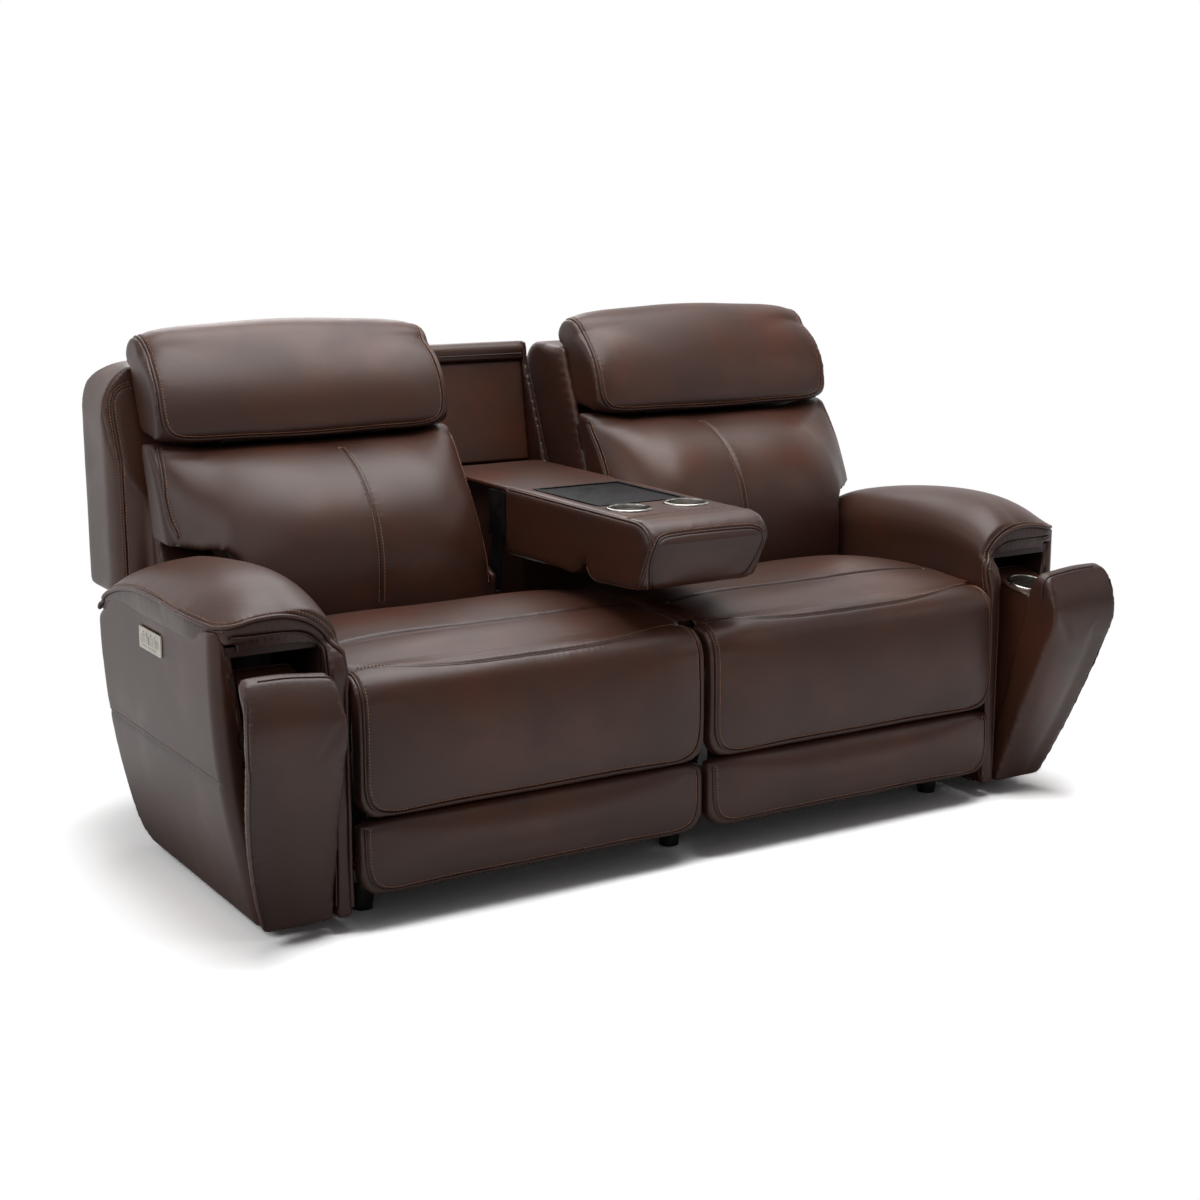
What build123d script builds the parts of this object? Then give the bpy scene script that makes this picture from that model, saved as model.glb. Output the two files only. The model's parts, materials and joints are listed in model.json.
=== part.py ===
from build123d import *
import os
from math import cos, radians, sin, tan

# Power reclining loveseat with a fold-down centre table and tilt-out arm bins.
# Millimetres. X runs across (+X is the right arm seen from the front), Y to the back, Z up.
# While modelling, y = 0 is the front face of the footrest pads and z = 0 is the floor.
# The last step moves the whole part so that its origin is the middle of its footprint.

# Seats and arms, across
SEAT_WIDTH = 735.0
SEAT_GAP = 22.0
ARM_GAP = 9.0
ARM_WIDTH = 245.0
SIDE_GAP = 0.5

# Footrest: the upper pad curls round the hinge line
HINGE_Z = 420.0
NOSE_RADIUS = 62.0
NOSE_BORE = 18.0
NOSE_GAP = 1.5
WELT_ANGLE = 70.0
PAD_THICK = 44.0
UPPER_PAD_BOTTOM = 217.0
LOWER_PAD_TOP = 205.0
LOWER_PAD_BOTTOM = 67.0
PAD_CROWN = 11.0
PAD_CORNER = 45.0
BOARD_THICK = 14.0
BOARD_BOTTOM = 85.0
BOARD_TOP = 398.0
FOOTREST_TRAVEL = 84.0

# Seat cushion and its spring deck
SEAT_DEPTH = 585.0
SEAT_BOTTOM = 356.0
SEAT_CROWN = 507.0
SEAT_REAR_TOP = 447.0
SPRING_WIRE = 4.0
SPRING_COUNT = 4
SPRING_WAVES = 8
SPRING_WIDTH = 42.0

# Steel under the seat
TUBE = 25.0
TUBE_WALL = 2.5
RAIL_BOTTOM = 80.0
RAIL_FRONT = 100.0
RAIL_REAR = 705.0
FRONT_TUBE_Y = 142.0
REAR_TUBE_Y = 672.0
FOOT_RADIUS = 25.0
FOOT_X = 690.0
MECHANISM_HALF = 300.0
PLATE = 5.0
RUN_GAP = 0.3
PIN_GAP = 0.05
DECK_TOP = 343.0
DECK_FRONT = 104.0
DECK_REAR = 580.0

# Footrest linkage: crank and footrest lug are equal and parallel
LUG_REACH = 43.0
LUG_DROP = 170.0
CRANK_Y = 300.0
CRANK_Z = 300.0
CRANK_TUBE = 22.0
LINK_PIN = 10.0
LINK_WIDTH = 20.0
OPEN_PIVOT_GAP = 0.4
LEVER = 90.0
TRACK_BOTTOM = 130.0
TRACK_FRONT = 190.0
TRACK_REAR = 470.0
GEARBOX_Y = 515.0
TRACK_HEIGHT = 25.0
TRACK_WIDTH = 30.0

# Back and headrest
BACK_IN = 172.0
BACK_OUT = 850.0
BACK_LOW_OUT = 742.0
RECLINE_Y = 640.0
RECLINE_Z = 360.0
RECLINE_PIN = 14.0
BACK_LEAN = 22.0
UPRIGHT = 32.0
UPRIGHT_WIDTH = 18.0
UPRIGHT_LENGTH = 455.0
BACK_CUSHION_BOTTOM = 478.0
BACK_CUSHION_TOP = 800.0
BACK_CROWN = 88.0
WING_OUT = 910.0
WING_FRONT = 795.0
WING_BOTTOM = 496.0
SHELL_REAR = 1035.0
SHELL_TOP = 966.0
SHELL_BOTTOM = 205.0
SHELL_WALL = 20.0
SHELL_CORNER = 85.0
SHELL_ROUND = 68.0
HEAD_IN = 188.0
HEAD_OUT = 842.0
HEAD_PIVOT_Y = 752.0
HEAD_PIVOT_Z = 816.0
HEAD_CREST = 1050.0
HEAD_TUBE = 16.0
HEAD_PLATE = 4.0
HEAD_EAR = 18.0

# Arms
ARM_FRONT = 80.0
ARM_REAR = 690.0
ARM_TOP = 545.0
ARM_BOTTOM = 25.0
ARM_SLOPE = 70.0
ARM_REAR_DROP = 66.0
ARM_DROP_START = 600.0
BOARD = 18.0
ARM_PANEL_THICK = 15.0
ARM_BULGE = 22.0
ARM_PANEL_CORNER = 60.0
ARM_WRAP = 4.5
ARM_PLAN_ROUND = 48.0
ARM_SKIRT = 17.0
ARM_SKIRT_BOTTOM = 32.0
ARM_LIP_FRONT = 32.0
ARM_SEAM_Z = 297.0
POCKET_DEPTH = 220.0

# Tilt-out bins, drawn shut and then tipped
BIN_TILT = 12.0
BIN_PIVOT_Y = 92.0
BIN_PIVOT_Z = 52.0
BIN_FRONT = 30.0
BIN_BULGE = 50.0
BIN_PANEL_REAR = 70.0
BIN_TOP = 554.0
BIN_BOTTOM = 43.0
BIN_IN = 796.0
BIN_DRAW = 24.0
BIN_REAR = 225.0
BIN_SHELF = 473.0
BIN_WALL = 10.0
BIN_CUP_X = 876.0
BIN_CUP_Y = 130.0
BIN_ROD = 8.0
BIN_BARREL = 18.0

# Cup holders
CUP_RIM = 92.0
CUP_BORE = 78.0
CUP_DEPTH = 66.0
CUP_WALL = 1.5

# Control plate on the arm's outer side
PLATE_Y = 386.0
PLATE_Z = 500.0
PLATE_LENGTH = 118.0
PLATE_HEIGHT = 41.0
BEZEL = 2.5
PLATE_SEAT = 0.1
HOUSING_DEPTH = 10.0
ROCKER_LENGTH = 36.0
ROCKER_HEIGHT = 14.0
ROCKER_AXLE = 3.0

# Centre table and the console behind it
TABLE_HALF = 141.0
TABLE_TOP = 697.0
TABLE_BOTTOM = 550.0
TABLE_REAR = 570.0
TABLE_PIVOT_Y = 620.0
TABLE_PIVOT_Z = 481.0
TABLE_PIN = 12.0
FLAP_REAR = 905.0
FLAP_THICK = 12.0
TRAY_HALF = 107.0
TRAY_FRONT = 243.0
TRAY_REAR = 510.0
TRAY_THICK = 4.0
TABLE_CUP_X = 68.0
TABLE_CUP_Y = 190.0
WALL_GAP = 6.0
CONSOLE_WALL = 18.0
CONSOLE_TOP = 965.0

# Places worked out from the sizes above
SEAT_IN = SEAT_GAP / 2
SEAT_OUT = SEAT_IN + SEAT_WIDTH
SEAT_MID = (SEAT_IN + SEAT_OUT) / 2
ARM_IN = SEAT_OUT + ARM_GAP
ARM_OUT = ARM_IN + ARM_WIDTH
HINGE_Y = NOSE_RADIUS
LUG_Y = HINGE_Y + LUG_REACH
LUG_Z = HINGE_Z - LUG_DROP
RAIL_TOP = RAIL_BOTTOM + TUBE
RUNNER_TOP = RAIL_TOP + RUN_GAP + PLATE
CONSOLE_IN = TABLE_HALF + WALL_GAP
CONSOLE_OUT = CONSOLE_IN + CONSOLE_WALL
NODES = {}


def keep(name, shape):
    """Store a node under its name."""
    NODES[name] = shape


def keep_pair(name, shape):
    """Store a right-hand node and its mirror image on the left."""
    keep(f"{name}_right", shape)
    keep(f"{name}_left", mirror(shape, about=Plane.YZ))


def group(solids):
    """Separate solids that share one node."""
    return Compound(children=list(solids))


def block(x, y, z):
    """Box between pairs of limits."""
    size = Box(x[1] - x[0], y[1] - y[0], z[1] - z[0])
    return Pos((x[0] + x[1]) / 2, (y[0] + y[1]) / 2, (z[0] + z[1]) / 2) * size


def tube(x, y, z, along):
    """Square tube between pairs of limits, open at both ends of the axis it runs along."""
    limits = [x, y, z]
    inner = [(a + TUBE_WALL, b - TUBE_WALL) for a, b in limits]
    inner["xyz".index(along)] = limits["xyz".index(along)]
    return block(*limits) - block(*inner)


def rod(x, y, z, diameter):
    """Round bar along X between the limits x."""
    return Pos((x[0] + x[1]) / 2, y, z) * Rot(0, 90, 0) * Cylinder(diameter / 2, x[1] - x[0])


def outline(plane, start, *steps):
    """Closed face: a step is a point to draw a line to, or a pair (through, end) of an arc."""
    edges = []
    here = start
    for step in steps:
        if isinstance(step[0], tuple):
            through, end = step
            ends = [plane.from_local_coords(p) for p in (here, through, end)]
            edges.append(ThreePointArc(*ends))
        else:
            end = step
            edges.append(Line(plane.from_local_coords(here), plane.from_local_coords(end)))
        here = end
    if here != start:
        edges.append(Line(plane.from_local_coords(here), plane.from_local_coords(start)))
    return make_face(edges)


def side_slab(x, *points):
    """Flat plate with a (y, z) outline between the limits x."""
    return extrude(outline(Plane.YZ.offset(x[0]), *points), amount=x[1] - x[0], dir=(1, 0, 0))


def front_slab(y, *points):
    """Flat plate with an (x, z) outline between the limits y."""
    return extrude(outline(Plane.XZ.offset(-y[0]), *points), amount=y[1] - y[0], dir=(0, 1, 0))


def plan_slab(z, *points):
    """Flat plate with an (x, y) outline between the limits z."""
    return extrude(outline(Plane.XY.offset(z[0]), *points), amount=z[1] - z[0], dir=(0, 0, 1))


def polar(centre, radius, angle):
    """Point at an angle in degrees from the first axis of a section."""
    turn = radians(angle)
    return (centre[0] + radius * cos(turn), centre[1] + radius * sin(turn))


def link_bar(x, start, end, width):
    """Flat bar with round ends from one (y, z) pivot to another."""
    run = Vector(end[0] - start[0], end[1] - start[1])
    across = Vector(-run.Y, run.X).normalized() * (width / 2)
    away = run.normalized() * (width / 2)
    corners = (
        (start[0] + across.X, start[1] + across.Y),
        ((start[0] - away.X, start[1] - away.Y), (start[0] - across.X, start[1] - across.Y)),
        (end[0] - across.X, end[1] - across.Y),
        ((end[0] + away.X, end[1] + away.Y), (end[0] + across.X, end[1] + across.Y)),
    )
    return side_slab(x, *corners)


def lean_point(along, off):
    """(y, z) of a point on the back frame: along the uprights from the recline pivot, and behind them."""
    lean = radians(BACK_LEAN)
    y = RECLINE_Y + along * sin(lean) + off * cos(lean)
    return (y, RECLINE_Z + along * cos(lean) - off * sin(lean))


def frame_front(z):
    """y of the front of the back frame at a height."""
    lean = radians(BACK_LEAN)
    return RECLINE_Y + (z - RECLINE_Z) * tan(lean) - UPRIGHT / 2 / cos(lean)


def frame_rear(z):
    """y of the rear of the back frame at a height."""
    return frame_front(z) + UPRIGHT / cos(radians(BACK_LEAN))


# Base: cross tubes, seat rails, feet and the power supply
def make_base():
    """Steel base that carries the arms, the seats and the console."""
    reach = ARM_IN + ARM_SKIRT
    parts = []
    for y in (FRONT_TUBE_Y, REAR_TUBE_Y):
        limits = (y - TUBE / 2, y + TUBE / 2)
        parts.append(tube((-reach, reach), limits, (RAIL_BOTTOM - TUBE, RAIL_BOTTOM), "x"))
    for side in (-1, 1):
        for offset in (-MECHANISM_HALF, MECHANISM_HALF):
            x = side * SEAT_MID + offset
            limits = (x - TUBE / 2, x + TUBE / 2)
            parts.append(tube(limits, (RAIL_FRONT, RAIL_REAR), (RAIL_BOTTOM, RAIL_TOP), "y"))
    keep("base_frame", group(parts))

    height = RAIL_BOTTOM - TUBE
    feet = []
    for x in (-FOOT_X, 0, FOOT_X):
        for y in (FRONT_TUBE_Y, REAR_TUBE_Y):
            feet.append(Pos(x, y, height / 2) * Cone(FOOT_RADIUS * 0.8, FOOT_RADIUS, height))
    keep("feet", group(feet))

    supply = block((-60, 60), (REAR_TUBE_Y - 32, REAR_TUBE_Y + 32), (RAIL_BOTTOM, RAIL_BOTTOM + 38))
    keep("power_supply", fillet(supply.edges().filter_by(Axis.Z), 6))


# Seat
def seat_section(x, crown):
    """Seat cushion section: hollow round the footrest nose in front, crowned on top."""
    hinge = (HINGE_Y, HINGE_Z)
    radius = NOSE_RADIUS + NOSE_GAP
    welt = polar(hinge, radius, WELT_ANGLE)
    return outline(
        Plane.YZ.offset(x),
        welt,
        ((SEAT_DEPTH / 2, crown), (SEAT_DEPTH, SEAT_REAR_TOP)),
        (SEAT_DEPTH, SEAT_BOTTOM),
        (HINGE_Y + radius + 16, SEAT_BOTTOM),
        polar(hinge, radius, -32),
        (polar(hinge, radius, WELT_ANGLE / 2 - 16), welt),
    )


def make_seat():
    """Seat frame, springs and cushion of the right seat."""
    soft = 60.0
    stations = (
        (SEAT_IN + SIDE_GAP, SEAT_CROWN - 20),
        (SEAT_IN + soft, SEAT_CROWN - 7),
        (SEAT_MID, SEAT_CROWN),
        (SEAT_OUT - soft, SEAT_CROWN - 7),
        (SEAT_OUT - SIDE_GAP, SEAT_CROWN - 20),
    )
    keep_pair("seat_cushion", loft([seat_section(x, crown) for x, crown in stations]))

    # Side plates stand on runners and reach forward to the footrest hinge
    solids = []
    hinge = (HINGE_Y, HINGE_Z)
    for side in (-1, 1):
        inner = side * (MECHANISM_HALF - 3)
        outer = side * (MECHANISM_HALF - 3 + PLATE)
        x = tuple(sorted((SEAT_MID + inner, SEAT_MID + outer)))
        plate = side_slab(
            x, (180, RUNNER_TOP), (550, RUNNER_TOP), (DECK_REAR, 290), (DECK_REAR, DECK_TOP - TUBE),
            (DECK_FRONT, DECK_TOP - TUBE), (DECK_FRONT, 290),
        )
        arm = link_bar(x, hinge, (HINGE_Y + 75, HINGE_Z - 98), LINK_WIDTH)
        shaft_hole = rod((x[0] - 1, x[1] + 1), CRANK_Y, CRANK_Z, CRANK_TUBE + 2 * PIN_GAP)
        pin_far = SEAT_MID + side * (MECHANISM_HALF - 10)
        pin_x = tuple(sorted((pin_far, SEAT_MID + outer)))
        solids.append(plate + arm + rod(pin_x, HINGE_Y, HINGE_Z, LINK_PIN) - shaft_hole)

        rail_x = SEAT_MID + side * MECHANISM_HALF
        half = TUBE / 2 + RUN_GAP
        run = (170, 560)
        runner = block((rail_x - half - 3, rail_x + half + 3), run, (RAIL_TOP + RUN_GAP, RUNNER_TOP))
        for cheek in (-1, 1):
            a = rail_x + cheek * half
            b = rail_x + cheek * (half + 3)
            runner += block(tuple(sorted((a, b))), run, (RAIL_TOP - 19, RAIL_TOP + RUN_GAP))
        solids.append(runner)

    # Deck rails carry the springs; low cross bars carry the motor and its track
    deck_x = (SEAT_MID - MECHANISM_HALF - 45, SEAT_MID + MECHANISM_HALF + 45)
    deck_z = (DECK_TOP - TUBE, DECK_TOP)
    solids.append(tube(deck_x, (DECK_FRONT, DECK_FRONT + TUBE), deck_z, "x"))
    solids.append(tube(deck_x, (DECK_REAR - TUBE, DECK_REAR), deck_z, "x"))
    for x in (deck_x[0], deck_x[1] - TUBE):
        solids.append(tube((x, x + TUBE), (DECK_FRONT + TUBE, DECK_REAR - TUBE), deck_z, "y"))
    inside = (SEAT_MID - MECHANISM_HALF + 3, SEAT_MID + MECHANISM_HALF - 3)
    for y in (TRACK_FRONT, GEARBOX_Y + 5):
        solids.append(block(inside, (y, y + 22), (TRACK_BOTTOM - 18, TRACK_BOTTOM)))

    # Recline arms on the rear deck rail
    for x in recline_arm_limits():
        arm = link_bar(x, (DECK_REAR - 4, DECK_TOP - 14), (RECLINE_Y, RECLINE_Z), 40)
        arm -= block((x[0] - 1, x[1] + 1), (DECK_REAR - 60, DECK_REAR), (0, DECK_TOP + 60))
        away = 1 if x[0] < SEAT_MID else -1
        root = x[1] if away > 0 else x[0]
        pin_x = tuple(sorted((root, root + away * (UPRIGHT_WIDTH + 4))))
        solids.append(arm + rod(pin_x, RECLINE_Y, RECLINE_Z, RECLINE_PIN))
    keep_pair("seat_frame", group(solids))

    # Sinuous springs hooked over the front and rear deck rails
    springs = []
    first = SEAT_MID - MECHANISM_HALF + 75
    pitch = (2 * MECHANISM_HALF - 150) / (SPRING_COUNT - 1)
    half = SPRING_WIDTH / 2
    start = DECK_FRONT + 4
    step = (DECK_REAR - DECK_FRONT - 8) / SPRING_WAVES
    for number in range(SPRING_COUNT):
        x = first + number * pitch
        turns = []
        for wave in range(SPRING_WAVES + 1):
            side = half if wave % 2 else -half
            turns.append((x + side, start + wave * step))
        centre = Polyline(*turns)
        springs.append(extrude(Pos(0, 0, DECK_TOP) * trace(centre, SPRING_WIRE), amount=SPRING_WIRE))
    keep_pair("seat_springs", group(springs))


def recline_arm_limits():
    """x limits of the two recline arms of the right seat."""
    inner = (BACK_IN + 16, BACK_IN + 22)
    outer = (BACK_LOW_OUT - 42, BACK_LOW_OUT - 36)
    return (inner, outer)


# Actuator and linkage
def make_drive():
    """Motor, track and block, torque tube with cranks and lever, and drag links of the right seat."""
    half = TRACK_WIDTH / 2
    track_top = TRACK_BOTTOM + TRACK_HEIGHT
    track = block((SEAT_MID - half, SEAT_MID + half), (TRACK_FRONT, TRACK_REAR), (TRACK_BOTTOM, track_top))
    run = (TRACK_FRONT - 1, TRACK_REAR + 1)
    slot = block((SEAT_MID - half + 3, SEAT_MID + half - 3), run, (TRACK_BOTTOM + 3, track_top + 1))
    screw_y = (TRACK_FRONT + TRACK_REAR) / 2
    screw = Pos(SEAT_MID, screw_y, TRACK_BOTTOM + 11) * Rot(90, 0, 0) * Cylinder(5, TRACK_REAR - TRACK_FRONT)
    gearbox_y = (TRACK_REAR, 2 * GEARBOX_Y - TRACK_REAR)
    gearbox = block((SEAT_MID - 32, SEAT_MID + 32), gearbox_y, (TRACK_BOTTOM, TRACK_BOTTOM + 62))
    gearbox = fillet(gearbox.edges().filter_by(Axis.Y), 9)
    can = Pos(SEAT_MID + 55, GEARBOX_Y, TRACK_BOTTOM + 31) * Rot(0, 90, 0) * Cylinder(25, 110)
    keep_pair("recline_motor", track - slot + screw + gearbox + can)

    # The lever swings evenly to both sides of straight down, so the block follows it steadily
    swing = FOOTREST_TRAVEL / 2
    tip = polar((CRANK_Y, CRANK_Z), LEVER, swing - 90)
    base_z = track_top + RUN_GAP
    foot = block((SEAT_MID - 12, SEAT_MID + 12), (tip[0] - 28, tip[0] + 28), (base_z, base_z + 18))
    fork = foot
    slot_half = LINK_PIN / 2 + 3.2
    for side in (-1, 1):
        y = sorted((tip[0] + side * slot_half, tip[0] + side * (slot_half + 9)))
        fork += block((SEAT_MID - 12, SEAT_MID + 12), tuple(y), (base_z + 18, CRANK_Z - LEVER * 0.6))
    keep_pair("motor_block", fork)

    near = MECHANISM_HALF - 21
    crank_end = (CRANK_Y + LUG_REACH, CRANK_Z - LUG_DROP)
    reach = MECHANISM_HALF + 6
    shaft = rod((SEAT_MID - reach, SEAT_MID + reach), CRANK_Y, CRANK_Z, CRANK_TUBE)
    for side in (-1, 1):
        arm_x = sorted((SEAT_MID + side * near, SEAT_MID + side * (near + PLATE)))
        pin_x = sorted((SEAT_MID + side * near, SEAT_MID + side * (near + 2 * PLATE + 2)))
        shaft += link_bar(tuple(arm_x), (CRANK_Y, CRANK_Z), crank_end, LINK_WIDTH + 6)
        shaft += rod(tuple(pin_x), *crank_end, LINK_PIN)
        lever_x = sorted((SEAT_MID + side * 14, SEAT_MID + side * 19))
        shaft += link_bar(tuple(lever_x), (CRANK_Y, CRANK_Z), tip, LINK_WIDTH)
    shaft += rod((SEAT_MID - 19, SEAT_MID + 19), *tip, LINK_PIN)
    keep_pair("torque_tube", shaft)

    links = []
    for side in (-1, 1):
        x = tuple(sorted((SEAT_MID + side * (near + 6), SEAT_MID + side * (near + 6 + PLATE))))
        wide = (x[0] - 1, x[1] + 1)
        bar = link_bar(x, crank_end, (LUG_Y, LUG_Z), LINK_WIDTH)
        bar -= rod(wide, *crank_end, LINK_PIN + 2 * PIN_GAP)
        bar -= rod(wide, LUG_Y, LUG_Z, LINK_PIN + 2 * OPEN_PIVOT_GAP)
        links.append(bar)
    keep_pair("drag_links", group(links))


# Footrest
def upper_pad_section(x, draw, crown, bottom):
    """Upper pad: a padded sheet whose top curls round the hinge line."""
    hinge = (HINGE_Y, HINGE_Z)
    radius = NOSE_RADIUS - draw
    front = HINGE_Y - radius
    round_off = 22.0
    middle = (bottom + round_off + HINGE_Z) / 2
    return outline(
        Plane.YZ.offset(x),
        (PAD_THICK, bottom),
        (front + round_off, bottom),
        ((front + 0.29 * round_off, bottom + 0.29 * round_off), (front, bottom + round_off)),
        ((front - crown, middle), (front, HINGE_Z)),
        (polar(hinge, radius, 125), polar(hinge, radius, WELT_ANGLE)),
        polar(hinge, NOSE_BORE, WELT_ANGLE),
        (polar(hinge, NOSE_BORE, 125), (HINGE_Y - NOSE_BORE, HINGE_Z)),
    )


def lower_pad_section(x, draw, crown, bottom):
    """Lower pad: a flat cushion with a rounded front."""
    front = 4.0 + draw
    top = LOWER_PAD_TOP - draw
    round_off = 20.0
    return outline(
        Plane.YZ.offset(x),
        (PAD_THICK, bottom),
        (front + round_off, bottom),
        ((front + 0.29 * round_off, bottom + 0.29 * round_off), (front, bottom + round_off)),
        ((front - crown, (top + bottom) / 2), (front, top - round_off)),
        ((front + 0.29 * round_off, top - 0.29 * round_off), (front + round_off, top)),
        (PAD_THICK, top),
    )


def pad_stations():
    """x, draw-in and crown of the pad sections from the inner to the outer end."""
    ends = ((SIDE_GAP, 9.0, 0.2), (40.0, 1.5, 0.55), (150.0, 0.0, 0.85))
    rows = [(SEAT_IN + a, b, c * PAD_CROWN) for a, b, c in ends]
    rows.append((SEAT_MID, 0.0, PAD_CROWN))
    rows += [(SEAT_OUT - a, b, c * PAD_CROWN) for a, b, c in reversed(ends)]
    return rows


def rounded_front(low, high):
    """Slab with a pad's front outline: square at the top, round at the two lower corners."""
    near, far = SEAT_IN, SEAT_OUT
    bend = 0.29 * PAD_CORNER
    return front_slab(
        (-60, 200), (near, high), (near, low + PAD_CORNER),
        ((near + bend, low + bend), (near + PAD_CORNER, low)), (far - PAD_CORNER, low),
        ((far - bend, low + bend), (far, low + PAD_CORNER)), (far, high),
    )


def make_footrest():
    """Board with brackets and the two front pads of the right seat."""
    low = UPPER_PAD_BOTTOM
    upper = loft([upper_pad_section(*row, low) for row in pad_stations()])
    keep_pair("footrest_upper_pad", upper & rounded_front(low, HINGE_Z + 2 * NOSE_RADIUS))
    low = LOWER_PAD_BOTTOM
    lower = loft([lower_pad_section(x, draw, crown * 0.5, low) for x, draw, crown in pad_stations()])
    keep_pair("footrest_lower_pad", lower & rounded_front(low, LOWER_PAD_TOP + PAD_CORNER))

    rear = PAD_THICK + BOARD_THICK
    board_x = (SEAT_IN + 24, SEAT_OUT - 24)
    frame = block(board_x, (PAD_THICK, rear), (BOARD_BOTTOM, BOARD_TOP))
    for side in (-1, 1):
        near = SEAT_MID + side * (MECHANISM_HALF - 9)
        far = SEAT_MID + side * (MECHANISM_HALF - 4)
        x = tuple(sorted((near, far)))
        bracket = side_slab(x, (rear, 170), (LUG_Y - 4, LUG_Z - 13), (LUG_Y + 8, LUG_Z + 8), (rear, 330))
        bracket += link_bar(x, (rear - 4, 340), (HINGE_Y, HINGE_Z), 2 * NOSE_BORE - 8)
        bracket += rod(x, LUG_Y, LUG_Z, LINK_WIDTH + 6)
        pin_x = tuple(sorted((SEAT_MID + side * (MECHANISM_HALF - 16), far)))
        bracket += rod(pin_x, LUG_Y, LUG_Z, LINK_PIN)
        bracket -= block((x[0] - 1, x[1] + 1), (0, PAD_THICK), (0, BOARD_TOP))
        bracket -= rod((x[0] - 1, x[1] + 1), HINGE_Y, HINGE_Z, LINK_PIN + 2 * PIN_GAP)
        frame += bracket
    keep_pair("footrest_frame", frame)


# Back
def back_section(x, full, draw):
    """Back cushion section against the leaning frame; full runs from 0 at a welt to 1 at the crown."""
    low = BACK_CUSHION_BOTTOM
    foot = (556 - 34 * full + draw, low + 12)
    top = BACK_CUSHION_TOP
    brow = (735 - 22 * full + draw, top - 22 + 14 * full)
    crown = 12 + (BACK_CROWN - 12) * full
    run = Vector(brow[0] - foot[0], brow[1] - foot[1])
    bulge = Vector(-run.Y, run.X).normalized() * crown
    middle = ((foot[0] + brow[0]) / 2 + bulge.X, (foot[1] + brow[1]) / 2 + bulge.Y)
    return outline(
        Plane.YZ.offset(x),
        (foot[0] + 12, low),
        ((foot[0] + 3, low + 4), foot),
        (middle, brow),
        ((brow[0] + 16, top - 3), (brow[0] + 34, top)),
        (frame_front(top) - 14, top),
        (frame_front(top - 20) - SIDE_GAP, top - 20),
        (frame_front(low) - SIDE_GAP, low),
    )


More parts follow.
